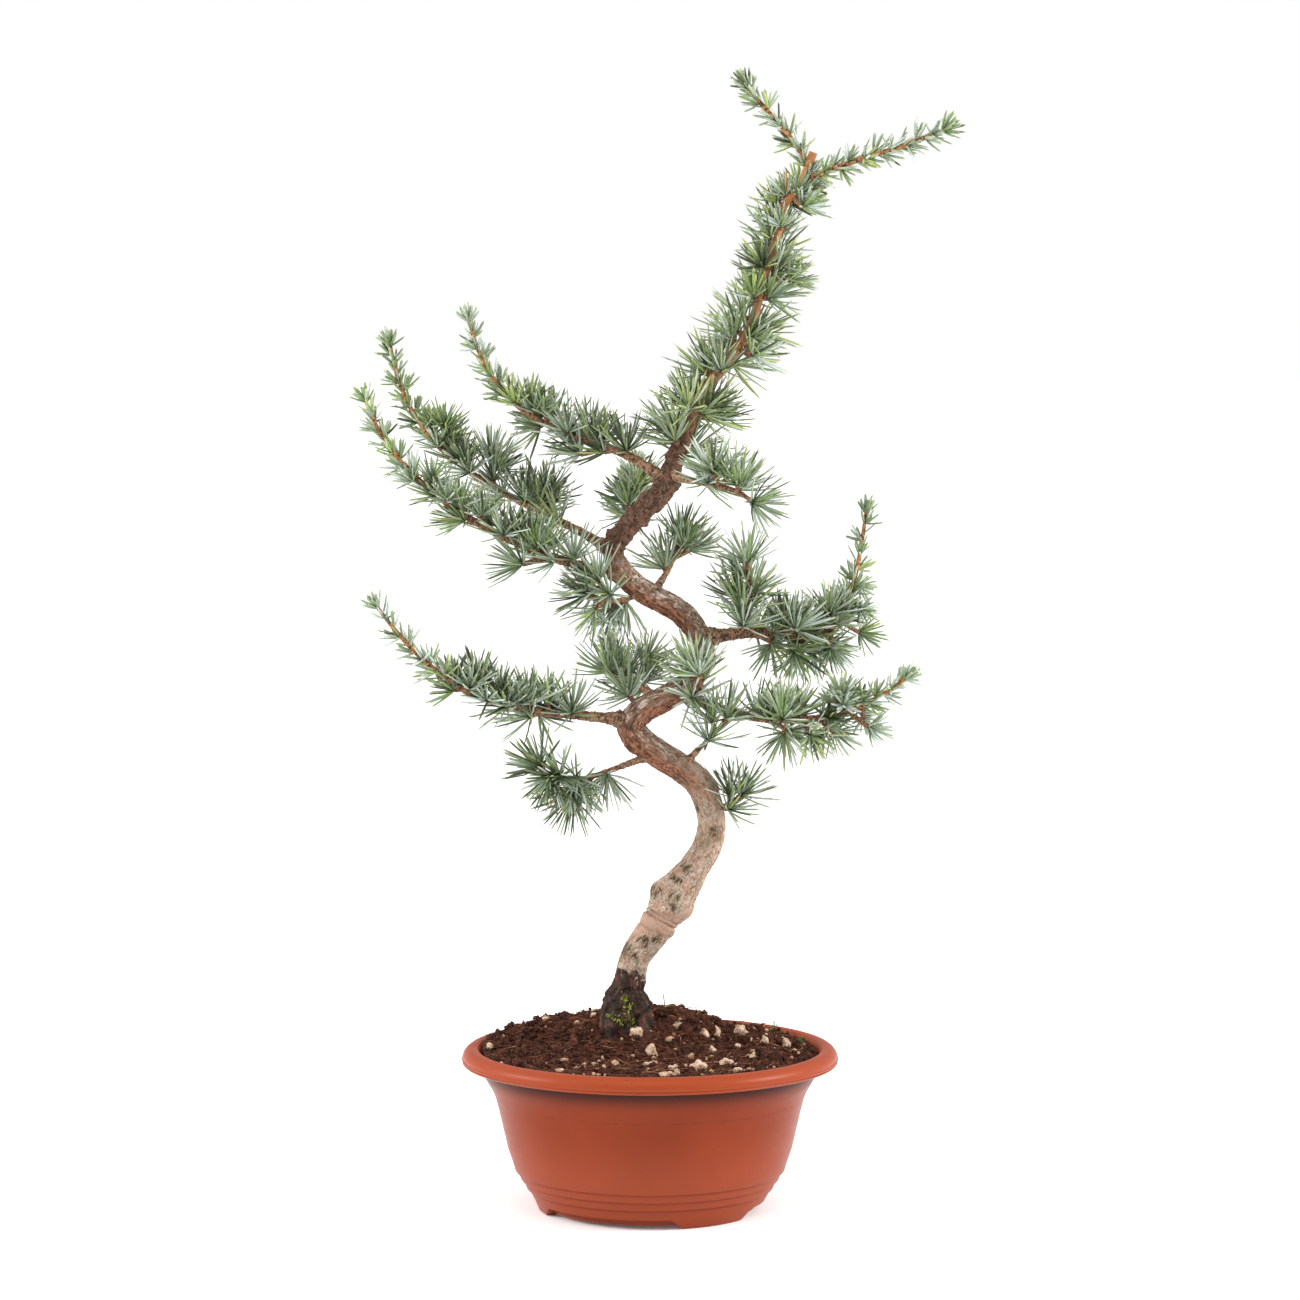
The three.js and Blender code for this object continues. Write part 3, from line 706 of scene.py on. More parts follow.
@dataclass(frozen=True)
class TrunkBark:
    """Mottled bark: pale and pinkish low down, red and cracked under the bends, dark and flaky above."""

    pink: tuple = srgb(152, 112, 90)
    pale: tuple = srgb(165, 142, 124)
    grey: tuple = srgb(150, 138, 123)
    fleck_and_highlight: tuple = srgb(204, 190, 178)
    umber: tuple = srgb(100, 72, 54)
    olive: tuple = srgb(98, 90, 62)
    crack_and_shade: tuple = srgb(62, 42, 32)
    furrow: tuple = srgb(86, 54, 38)
    rust: tuple = srgb(160, 106, 78)
    brown: tuple = srgb(116, 88, 72)
    scale: tuple = srgb(47, 29, 21)
    plate: tuple = srgb(108, 84, 68)
    leader: tuple = srgb(168, 128, 96)
    leader_dark: tuple = srgb(120, 84, 60)
    orange: tuple = srgb(186, 124, 78)
    smooth_skin: tuple = srgb(166, 131, 111)
    foot: tuple = srgb(40, 30, 25)
    foot_brown: tuple = srgb(84, 62, 48)
    foot_red: tuple = srgb(104, 54, 38)
    stains: Rows = ((15.4, 194.5, 4), (14.3, 184, 4.6), (14, 178.5, 4), (20.4, 200, 4.4), (2, 187, 6.5),
                    (-14, 152.6, 5), (-3.7, 157, 4.5), (3.3, 158.8, 4), (-9, 149, 3.6), (25, 235, 5),
                    (38, 222, 4.4))
    damp_top: Span = (112.0, 117.0)
    damp_slant: float = 0.55
    damp_middle: float = -12.0

    def old_wood(self, graph: Graph) -> None:
        """Paints the pale mottled colour of the lower trunk.

        Args:
            graph: the material's nodes.
        """
        drawn = graph.drawn(0.6)
        graph.paint(self.pale, graph.patches(0.4, 0.56, 3.0, 6, 0.68, drawn, 0.7))
        graph.paint(self.grey, graph.patches(0.46, 0.62, 9, 5, 0.65, drawn, 0.8), 0.7)
        graph.paint(self.fleck_and_highlight, graph.patches(0.52, 0.63, 1.1, 5, 0.7, drawn, 0.4), 0.7)
        dark = graph.patches(0.52, 0.59, 2.1, 6, 0.72, graph.drawn(0.5), 1.0)
        graph.paint(self.umber, dark, graph.patches(0.38, 0.55, 13, 3), 0.84)
        freckles = graph.patches(0.6, 0.66, 0.9, 4, 0.7, drawn, 0.5)
        graph.paint(self.olive, freckles, graph.below(200, 260), 0.7)

    def flaky(self, graph: Graph) -> None:
        """Paints the darker middle, the dark flakes above it and the browner leader.

        Args:
            graph: the material's nodes.
        """
        shaded = graph.rest(graph.times(graph.between(graph.mark("sky"), 0.0, 0.8), 0.55))
        graph.paint(self.brown, graph.above(246, 270), shaded, 0.66)
        speckled = graph.belt(250, 285, 370, 390)
        grain = graph.noise(2.4, 5, 0.68, graph.drawn(0.5), 0.9)
        graph.paint(self.umber, speckled, graph.between(grain, 0.53, 0.58), 0.95)
        graph.paint(self.fleck_and_highlight, speckled, graph.outside(grain, 0.42, 0.47), 0.9)
        drawn = graph.drawn(0.8)
        scales = graph.blend(graph.patches(0.46, 0.6, 5, 4, 0.6, drawn, 0.8), self.scale, self.foot_red)
        scaly = graph.blend(graph.patches(0.45, 0.57, 1.5, 6, 0.76, drawn, 1.2), scales, self.plate)
        edge = graph.maths("ADD", graph.height, graph.times(graph.noise(6, 4), 0.02))
        graph.paint(scaly, graph.between(edge, 0.38, 0.396), 0.9)
        ringed = graph.patches(0.38, 0.58, 1.6, 4, 0.6, graph.drawn(1.4, 0.3), 0.6)
        young = graph.blend(ringed, self.leader_dark, self.leader)
        graph.paint(young, graph.between(edge, 0.456, 0.476), 0.8)
        graph.paint(self.orange, graph.above(480, 540), 0.7)

    def red_side(self, graph: Graph) -> None:
        """Paints the red, lengthwise cracked bark of the sides that face down.

        Args:
            graph: the material's nodes.
        """
        stripes = graph.patches(0.47, 0.54, 1.6, 5, 0.66, graph.drawn(0.34), 1.0)
        striped = graph.blend(stripes, self.furrow, self.rust)
        down = graph.outside(graph.mark("sky"), -0.3, 0.42)
        graph.paint(striped, graph.belt(232, 258, 360, 385), down, 0.9)

    def damp_foot(self, graph: Graph) -> None:
        """Paints the olive patches and dark stains of the lower trunk, and the nearly black foot.

        Args:
            graph: the material's nodes.
        """
        drawn = graph.drawn(0.55)
        bare = graph.belt(158, 163, 171, 177)
        graph.paint(self.smooth_skin, bare, 0.55)
        patch = graph.patches(0.53, 0.59, 6.5, 6, 0.7, drawn, 1.3)
        graph.paint(self.olive, graph.belt(128, 142, 212, 245), graph.rest(bare), patch, 0.6)
        torn = graph.times(graph.maths("SUBTRACT", graph.noise(4.5, 5, 0.7, drawn, 1.0), 0.5), 0.014)
        spots: float | Socket = 0.0
        for x, level, size in self.stains:
            off = graph.maths("ADD", graph.off(graph.scaled(graph.place, 1, 0, 1), x, 0, level), torn)
            spots = graph.maths("MAXIMUM", spots, graph.outside(off, 0.3 * size * MM, size * MM))
        ragged = graph.noise(2.2, 6, 0.78, graph.drawn(0.35), 1.2)
        graph.paint(self.olive, spots, graph.between(ragged, 0.4, 0.48), 0.82)
        graph.paint(self.crack_and_shade, spots, graph.between(ragged, 0.48, 0.52), 0.95)
        across = graph.node("SeparateXYZ", {"Vector": graph.place}).outputs["X"]
        slanted = graph.times(graph.maths("SUBTRACT", across, self.damp_middle * MM), self.damp_slant)
        edge = graph.maths("ADD", graph.height, graph.times(graph.noise(7, 5, 0.7, None, 0.8), -0.05))
        low, high = self.damp_top
        damp = graph.blend(graph.patches(0.46, 0.66, 3.4, 6, 0.7, drawn, 0.8), self.foot, self.foot_brown)
        damp = graph.blend(graph.times(graph.patches(0.54, 0.64, 7, 5, 0.7, drawn, 1.0), 0.75), damp,
                           self.foot_red)
        graph.paint(damp, graph.outside(graph.maths("ADD", edge, slanted), low * MM, high * MM))

    def material(self) -> Material:
        """The bark's material."""
        graph = Graph("trunk_bark", self.pink, 0.84, 0.22)
        self.old_wood(graph)
        self.flaky(graph)
        self.red_side(graph)
        sunk = graph.mark("sunk")
        # Painted highlight: the pale fleck tone is laid on where the bark stands out.
        graph.paint(self.fleck_and_highlight, graph.outside(sunk, -1.2, -0.2), graph.below(355, 375), 0.3)
        # Dark where the bark is sunk: partly its dark furrows, partly painted shade in the hollows.
        graph.paint(self.crack_and_shade, graph.between(sunk, 0.15, 1.0), 0.62)
        self.damp_foot(graph)
        pores = graph.outside(graph.cells(4.6, graph.drawn(1, 0.75)), 0.05, 0.15)
        graph.paint(self.crack_and_shade, pores, graph.patches(0.46, 0.56, 9, 2), 0.75)
        fine = graph.noise(1.0, 6, 0.7, graph.drawn(0.6))
        return graph.finish(graph.maths("SUBTRACT", fine, graph.times(pores, 0.5)), 0.6)


@dataclass(frozen=True)
class TwigBark:
    """Knobbly bark of a limb, dark where it is sunk: partly its furrows, partly painted shade."""

    name: str
    light: tuple
    dark: tuple
    lump: float = 1.6
    crack_and_shade: tuple = srgb(52, 34, 27)

    def material(self) -> Material:
        """The bark's material."""
        graph = Graph(self.name, self.dark, 0.8, 0.25)
        graph.paint(self.light, graph.patches(0.38, 0.6, self.lump, 5, 0.68, None, 0.6))
        # Partly dark furrows, partly painted shade in the hollows between rings and lumps.
        graph.paint(self.crack_and_shade, graph.between(graph.mark("sunk"), 0.05, 0.9), 0.8)
        return graph.finish(graph.noise(self.lump / 2, 5, 0.65), 0.35)


@dataclass(frozen=True)
class Plain:
    """A finish of one even colour, for small things that are dealt out by the thousand."""

    name: str
    colour: tuple
    rough: float = 0.6
    shine: float = 0.3

    def material(self) -> Material:
        """The finish's material."""
        return Graph(self.name, self.colour, self.rough, self.shine).finish()


@dataclass(frozen=True)
class Peat:
    """Dark, red-brown fibrous peat."""

    dark: tuple = srgb(30, 17, 12)
    brown: tuple = srgb(74, 41, 29)
    red: tuple = srgb(108, 63, 44)

    def material(self) -> Material:
        """The peat's material."""
        graph = Graph("peat", self.dark, 0.95, 0.15)
        graph.paint(self.brown, graph.patches(0.38, 0.62, 2.6, 6, 0.7))
        graph.paint(self.red, graph.patches(0.5, 0.72, 6, 5, 0.7))
        return graph.finish(graph.noise(0.9, 5, 0.7), 0.6)


@dataclass(frozen=True)
class Pumice:
    """Cream and grey volcanic grains, dirty in their hollows, a few of them tinged yellow by algae."""

    name: str
    pale: tuple
    stain: tuple
    dirt: tuple = srgb(96, 66, 48)
    tinge: tuple = srgb(168, 150, 82)

    def material(self) -> Material:
        """The grains' material."""
        graph = Graph(self.name, self.pale, 0.9, 0.2)
        graph.paint(self.stain, graph.patches(0.46, 0.64, 2.4, 5, 0.7))
        graph.paint(self.tinge, graph.patches(0.71, 0.74, 17, 0), 0.7)
        graph.paint(self.dirt, graph.patches(0.54, 0.64, 1.3, 5, 0.75), 0.75)
        return graph.finish(graph.noise(0.7, 4, 0.7), 0.5)


class Tint(Enum):
    """The tints of needle: the face towards the bud, the face away from it and the point."""

    # The palest tint is partly the needles' pale bloom and partly a painted highlight.
    FROST_HIGHLIGHT = (srgb(192, 204, 196), srgb(154, 166, 142), srgb(180, 184, 158))
    GLAUCOUS = (srgb(174, 185, 170), srgb(131, 145, 114), srgb(156, 162, 130))
    SEA = (srgb(142, 158, 135), srgb(114, 130, 93), srgb(138, 144, 106))
    LEAF = (srgb(132, 153, 104), srgb(116, 138, 80), srgb(132, 144, 92))
    LIME = (srgb(168, 181, 122), srgb(150, 166, 96), srgb(166, 170, 110))
    # The darkest tint stands in for needles in the crown's shade: painted shade.
    DEEP_SHADE = (srgb(72, 84, 56), srgb(61, 71, 42), srgb(88, 92, 62))
    STRAW = (srgb(196, 160, 98), srgb(186, 144, 84), srgb(176, 130, 76))

    def materials(self) -> list[Material]:
        """One plain material for each part of the needle."""
        parts = zip(("inner", "outer", "point"), self.value)
        return [Plain(f"needle_{self.name.lower()}_{part}", colour, 0.5, 0.5).material()
                for part, colour in parts]


@dataclass
class Whorl:
    """A rosette of needles round a bud."""

    centre: Array
    aim: Array
    needle: float
    foot: Array
    thickness: float = 1.3
    count: int = 34
    spread: Span = (6, 76)


@dataclass
class Mass:
    """One mass of foliage: a stem with the twigs and whorls that grow on it."""

    name: str
    curve: Curve
    start: float
    radius: Span
    shoot: float
    lift: Array
    youth: float | None = None
    on_trunk: bool = False
    on_leader: bool = False
    shoot_start: float = 1.0
    bones: Array = field(default_factory=lambda: np.zeros((0, 7)))
    whorls: list[Whorl] = field(default_factory=list)

    def thickness(self, share: float) -> float:
        """The stem's radius at a share of its curve."""
        return mix(*self.radius, (share - self.start) / (1 - self.start))


@dataclass(frozen=True)
class Branch:
    """How a limb leaves the trunk, where it runs and how it grows."""

    leave: float
    elbows: Rows
    tip: Sequence[float]
    radius: Span = (1.8, 1.1)
    bare: float = 0.0
    shoot: float = 0.0
    upward: float = 0.55
    youth: float | None = None


@dataclass
class Skeleton:
    """The trunk's line, the boughs and the growth rule, worked out from named sizes."""

    turns: Rows = (
        (-14.6, 0, 96.5, 15), (-13.4, 0, 121, 12.3), (-12.4, 0, 130, 9), (-8.6, 0, 147, 8.8),
        (3, 1, 164.5, 10.4), (14.5, 2, 183, 12.2), (25, 3, 198.5, 8.9), (33.8, 3, 213.5, 8.4),
        (35.6, 2, 230, 8.1), (27, -1, 251, 8.1), (6, -3, 266, 8.2), (-6.5, -4, 275.5, 8.1),
        (-10.5, -5, 284, 8.1), (-4, -5, 292.5, 7.9), (9, -4, 299.5, 7.4), (24, -1, 309.5, 7),
        (31, 1, 327, 6.5), (19.4, 3, 347.4, 7), (-7.8, 4, 363.6, 7), (-21, 2, 382.3, 6),
        (-11.9, -1, 400, 6.3), (7.8, -3, 421, 6.5), (16.5, -3, 443.5, 4.9), (31.4, -1, 476.5, 3.7),
        (56, 2, 511, 2.6), (72.2, 4, 561.4, 2.1), (77.5, 4, 584, 2.1), (86, 3, 593, 2.3),
        (94, 2, 614, 2.5),
    )
    boughs: dict[str, Branch] = field(default_factory=lambda: {
        "low_left": Branch(286, ((-70, -29, 297), (-107, -36, 287)), (-154, -55, 355), (3, 1.1), 0.17, 0.36),
        "low_left_twig": Branch(266, ((-15, -8, 265), (-43, -25, 243)), (-63, -30, 262), (1.9, 1.1), 0.36,
                                upward=-0.7),
        "low_right": Branch(304, ((54, -22, 283), (108, -33, 281)), (145, -45, 314), (3.1, 1.1), 0.3, 0.3),
        "mid_right": Branch(333, ((96, 25, 348), (112, 15, 298)), (127, 38, 405), (3.2, 1.1), 0.14, 0.26),
        "mid_left": Branch(370, ((-59, -12, 377), (-144, -14, 411)), (-163, -12, 471), (3, 1.1), 0.16, 0.34),
        "back_left": Branch(384, ((-73, 40, 416), (-141, 48, 425)), (-153, 52, 503), (2.6, 1.1), 0.15, 0.34),
        "upper_left": Branch(424, ((-26, 5, 460), (-85, 10, 439)), (-105, 18, 517), (2.7, 1.1), 0.15, 0.36),
        "upper_right": Branch(430, ((20, -14, 423), (44, -49, 428)), (58, -60, 415), (2.1, 1.2), 0.36),
        "fork": Branch(258, ((26, -8, 269), (35, -18, 277)), (44, -24, 289), (1.7, 1), 0.45),
        "back_low": Branch(298, ((4, 30, 300), (-16, 60, 300)), (-24, 84, 324), (2.4, 1.2), 0.34, 0.2),
        "back_mid": Branch(358, ((6, 26, 366), (11, 38, 368)), (18, 46, 390), (2.2, 1.2), 0.45),
        "mid_right_fan": Branch(336, ((52, -16, 336), (62, -12, 336)), (56, -4, 378), (2.2, 1.2), 0.4,
                                upward=0.15),
        "back_high": Branch(407, ((-12, 26, 401), (-16, 52, 404)), (-8, 80, 432), (2.2, 1.1), 0.3, 0.24),
    })
    sprays: dict[str, Branch] = field(default_factory=lambda: {
        "front": Branch(303, ((26, -16, 300), (32, -24, 303)), (28, -27, 315)),
        "left": Branch(291, ((-10, -2, 300), (-16, 1, 304)), (-24, 3, 314)),
        "right": Branch(233, ((40, 0, 234), (47, -3, 238)), (53, -5, 243)),
        "mid_low": Branch(361, ((-14, -6, 355), (-24, -9, 354)), (-36, -11, 360), upward=-0.2),
        "tip_left": Branch(601, ((96, 5, 612), (64, 11, 640)), (56, 12, 652), shoot=0.94, youth=0.9),
        "tip_right": Branch(597, ((110, -10, 608), (141, -21, 614)), (166, -30, 625), shoot=0.94, youth=0.9),
    })
    leader_foot: float = 440
    leader_rise: float = 41
    leader_tiers: int = 4
    leader_sides: int = 3
    leader_turn: float = 55
    leader_stand_off: Span = (10, 6.5)
    leader_elbows: Span = (0.1, 0.4)
    leader_tip: float = 0.66
    leader_youth: float = 0.7
    trunk_bones: int = 92
    bough_bone: float = 9
    old_bone: float = 12
    young_bone: float = 5.2
    whorl_step: float = 13.5
    first_on_bough: float = 6
    first_on_trunk: float = 11
    whorl_seat: float = 1.5
    seat_depth: float = 0.7
    least_twig: float = 6
    twig_length: Span = (19, 10)
    twig_every: int = 3
    onward: float = 0.55
    twig_space: float = 6.6
    limb_space: float = 3.2
    needle_length: Span = (24.5, 10)
    youth_from: float = 0.3
    youth_of_old_wood: float = 0.05
    light: float = 0.7

    def __post_init__(self) -> None:
        """Lays out every limb and mass, and grows the masses."""
        self.trunk = Turns(self.turns)
        frames = frames_along(self.trunk, np.linspace(0, 1, self.trunk_bones + 1))
        bones = [bones_of(frames, self.trunk_radius)]
        self.limbs = {name: self.limb(branch) for name, branch in self.boughs.items()}
        for name, branch in self.boughs.items():
            shares = shares_between(self.limbs[name], 0, branch.bare, self.bough_bone)
            frames = frames_along(self.limbs[name], shares)
            bones.append(bones_of(frames[1:], lambda share, r=branch.radius: mix(*r, share)))
        self.limb_bones = np.vstack(bones)
        self.masses = [*self.bough_masses(), *self.spray_masses(), *self.leader_masses()]
        for mass in self.masses:
            mass.shoot_start = 1 - mass.shoot * (1 - mass.start)
            old = shares_between(mass.curve, mass.start, mass.shoot_start, self.old_bone)
            young = shares_between(mass.curve, mass.shoot_start, 1, self.young_bone)[1:]
            frames = frames_along(mass.curve, [*old, *(young if mass.shoot else [])])
            mass.bones = bones_of(frames, lambda share: 0.0)
        for seed, mass in enumerate(self.masses):
            self.grow(mass, Draws(seed))

    def trunk_radius(self, share: float) -> float:
        """The trunk's radius at a share of its turns."""
        turn = share * (len(self.turns) - 1)
        low = min(int(turn), len(self.turns) - 2)
        return mix(self.turns[low][3], self.turns[low + 1][3], turn - low)

    def share_at(self, height: float) -> float:
        """The share of the trunk's turns at which its axis reaches a height.

        Args:
            height: the height.

        Returns:
            The share, from 0 to 1.
        """
        low, high = 0.0, 1.0
        while high - low > 1e-5:
            middle = (low + high) / 2
            low, high = (middle, high) if self.trunk.point(middle)[2] < height else (low, middle)
        return low

    def limb(self, branch: Branch) -> Bend:
        """The curve of a limb from the trunk's axis past its elbows to its tip."""
        return Bend(self.trunk.point(self.share_at(branch.leave)), branch.elbows, branch.tip)

    def bough_masses(self) -> Iterable[Mass]:
        """The masses that grow on from the boughs' tips."""
        for name, branch in self.boughs.items():
            curve = self.limbs[name]
            radius = (mix(*branch.radius, branch.bare), branch.radius[1])
            start = branch.bare + 0.3 / curve.length()
            yield Mass(name, curve, start, radius, branch.shoot, UP * branch.upward)

    def spray_masses(self) -> Iterable[Mass]:
        """The masses that sit on the trunk, each on a stem of its own."""
        for name, branch in self.sprays.items():
            yield Mass(name, self.limb(branch), 0, branch.radius, branch.shoot, UP * branch.upward,
                       branch.youth, on_trunk=True)

    def leader_masses(self) -> Iterable[Mass]:
        """The tiers of masses up the trunk's upper half, closer and younger tier by tier."""
        for tier in range(self.leader_tiers):
            up = tier / (self.leader_tiers - 1)
            leave = self.leader_foot + self.leader_rise * tier
            for side in range(self.leader_sides):
                turn = math.radians(self.leader_turn * tier + 360 / self.leader_sides * side)
                outward = np.array([math.cos(turn), math.sin(turn), 0.0])
                off = outward * mix(*self.leader_stand_off, up)
                *elbows, tip = (self.trunk.point(self.share_at(leave + rise * self.leader_rise)) + off
                                for rise in (*self.leader_elbows, self.leader_tip))
                branch = Branch(leave, elbows, tip)
                yield Mass(f"leader_{tier + 1}_{side + 1}", self.limb(branch), 0, branch.radius, 0, outward,
                           self.leader_youth * up, on_trunk=True, on_leader=True)

    def needle_at(self, mass: Mass, share: float) -> float:
        """The length of needle on a mass: long on old wood, short on this year's."""
        by_age = smooth(self.youth_from, 1, share) if mass.shoot else self.youth_of_old_wood
        return float(mix(*self.needle_length, by_age if mass.youth is None else mass.youth))

    def near_limb(self, place: Array, space: float) -> bool:
        """Whether a place lies within a space of the trunk or a bough."""
        return nearest(self.limb_bones, place[None])[0] <= space

    def sprout(self, mass: Mass, stand: Frame, turn: float, reach: float) -> Whorl | None:
        """A whorl that grows off a stem, unless it would come too near to another limb.

        Args:
            mass: the mass that it belongs to.
            stand: where on the stem it leaves.
            turn: the direction round the stem.
            reach: how far out its bud sits.

        Returns:
            The whorl, or None where there is no room for it.
        """
        aim = unit(stand.out(turn) + stand.forward * self.onward + mass.lift)
        end = stand.centre + aim * reach
        others = np.vstack([other.bones for other in self.masses if other is not mass])
        if nearest(others, end[None])[0] <= self.twig_space or self.near_limb(end, self.limb_space):
            return None
        return Whorl(end, self.to_light(aim, mass), self.needle_at(mass, stand.share), stand.centre)

    def to_light(self, aim: Array, mass: Mass) -> Array:
        """The direction in which a whorl opens: its twig's, turned to the light, or down if it droops."""
        return unit(aim + UP * (self.light if mass.lift[2] >= 0 else -self.light / 2))

    def grow(self, mass: Mass, draw: Draws) -> None:
        """Grows a mass's whorls by turns round its stem, every third one out on a twig.

        Args:
            mass: the mass.
            draw: the row of numbers that its growth is drawn from.
        """
        clear = self.first_on_trunk if mass.on_trunk else self.first_on_bough
        first = mass.start + clear / mass.curve.length()
        phase = draw() * 2 * math.pi
        shares = []
        if mass.shoot_start > first:
            shares = shares_between(mass.curve, first, mass.shoot_start, self.whorl_step)[:-1]
        for k, stand in enumerate(frames_along(mass.curve, shares)):
            reach = mass.thickness(stand.share) * self.seat_depth + self.whorl_seat
            if k % self.twig_every == 1:
                reach = mix(*self.twig_length, (stand.share - mass.start) / (1 - mass.start))
            whorl = self.sprout(mass, stand, phase + k * GOLDEN_TURN, reach)
            if whorl is not None:
                mass.whorls.append(whorl)
        if not mass.shoot:
            tip = frames_along(mass.curve, [1.0])[0]
            onward = unit(tip.forward + mass.lift * (mass.lift[2] >= 0))
            foot = tip.centre - tip.forward * 3
            mass.whorls.append(Whorl(tip.centre, onward, self.needle_at(mass, 1), foot))
        for whorl in mass.whorls:
            on_twig = np.linalg.norm(whorl.foot - whorl.centre) > self.least_twig
            knot = [*(whorl.foot if on_twig else whorl.centre), *whorl.centre, 0.0]
            mass.bones = np.vstack([mass.bones, knot])


@dataclass
class Bowl:
    """The round bowl: a turned wall, floor and rolled rim, notched between its three feet."""

    steps: int = 288
    outside: Rows = (
        (62, 0), (64.6, 0), (65.3, 0.5), (66.4, 3), (67.6, 6), (70.3, 11.0), (70.2, 11.8), (70.5, 12.1),
        (71.8, 12.3), (72.3, 12.9), (73.6, 16.2), (73.5, 17.0), (73.8, 17.3), (75.1, 17.5), (75.6, 18.1),
        (76.9, 21.4), (76.8, 22.2), (77.1, 22.5), (78.5, 22.7), (79.0, 23.3), (80.2, 27.4),
        (83.2, 36.2), (85.7, 47), (88.1, 57.5), (89.9, 64.6), (91.0, 67.9), (92.7, 71.6), (94.8, 75),
        (96.8, 78.4), (98.2, 81.6), (99.2, 85),
    )
    rim: Rows = (
        (99.7, 87), (100.6, 88.6), (102, 89.4), (103.4, 89), (104.9, 87.6), (106.2, 86.3), (107.3, 85.6),
        (108.3, 85.6), (109.1, 86), (109.6, 86.6), (109.2, 87.2), (109.7, 87.8), (110, 88.5), (109.5, 89.1),
        (109.6, 89.9), (109, 91.6), (107.8, 93.2), (106.2, 94.4), (104.4, 94.9), (102.4, 95), (100.7, 94.5),
        (99.4, 92.6),
    )
    inside: Rows = ((96.6, 84), (89, 71.5), (85.2, 54), (80.6, 36), (68, 8.5), (60.5, 8.5), (59.5, 4.4))
    floor_top: float = 4.4
    floor_underside: float = 2.0
    foot_inner: float = 56.0
    foot_outer: float = 62.0
    feet: Sequence[float] = (35, 155, 275)
    foot_width: float = 36
    foot_spread: float = 7
    notch: float = 6.0
    crease: float = 38

    def profile(self) -> list[Span]:
        """The closed half outline, from the underside's middle round to the floor's middle."""
        inner, under = self.foot_inner, self.floor_underside
        return [(0, under), (inner - 0.4, under), (inner, under - 0.4), (inner, 0.3), (inner + 0.3, 0),
                (self.foot_outer - 0.05, 0), *self.outside, *self.rim, *self.inside, (0, self.floor_top)]

    def cut_height(self, turn: float, outer: bool) -> float:
        """How high a notch is cut: the wall slopes up to it, and the ring inside it steps up.

        Args:
            turn: the compass direction.
            outer: whether it is the wall.

        Returns:
            The height below which nothing is left.
        """
        away = min(abs((turn - foot + 180) % 360 - 180) for foot in self.feet)
        high, slope = (self.notch, self.foot_spread) if outer else (self.floor_underside, 1.0)
        return high * float(np.clip((away - self.foot_width / 2) / slope, 0, 1))

    def mesh(self) -> Mesh:
        """The bowl's mesh: its outline spun once round, then notched."""
        bm = bmesh.new()
        corners = [bm.verts.new((radius, 0, height)) for radius, height in self.profile()]
        edges = [bm.edges.new(pair) for pair in zip(corners, corners[1:])]
        bmesh.ops.spin(bm, geom=[*corners, *edges], cent=(0, 0, 0), axis=(0, 0, 1), use_merge=True,
                       angle=2 * math.pi, steps=self.steps)
        bmesh.ops.remove_doubles(bm, verts=bm.verts, dist=1e-3)
        reaches, heights = zip(*self.outside[1:5])
        for vert in bm.verts:
            radius = math.hypot(vert.co.x, vert.co.y)
            turn = math.degrees(math.atan2(vert.co.x, -vert.co.y))
            cut = self.cut_height(turn, radius > self.foot_outer - 0.02)
            if vert.co.z >= cut or radius < self.foot_inner - 0.2:
                continue
            vert.co.z = cut
            if radius > self.foot_outer + 0.02:
                vert.co.xy = vert.co.xy * float(np.interp(cut, heights, reaches)) / radius
        bmesh.ops.remove_doubles(bm, verts=bm.verts, dist=1e-3)
        return finished(bm, "bowl", self.crease)

    def build(self) -> None:
        """Shows the bowl."""
        show("bowl", self.mesh(), Slot.BOWL, [BowlPlastic().material()], ["pot"])


@dataclass(frozen=True)
class Strands:
    """A kind of thin curved strand that lies on the soil."""

    name: str
    count: int
    finish: Plain
    length: Span = (4, 15)
    width: Span = (0.2, 0.46)
    rise: float = 0.7
    profile: Rows = ((0, 0.5), (0.2, 0.9), (0.4, 1), (0.6, 0.95), (0.8, 0.8), (1, 0.3))


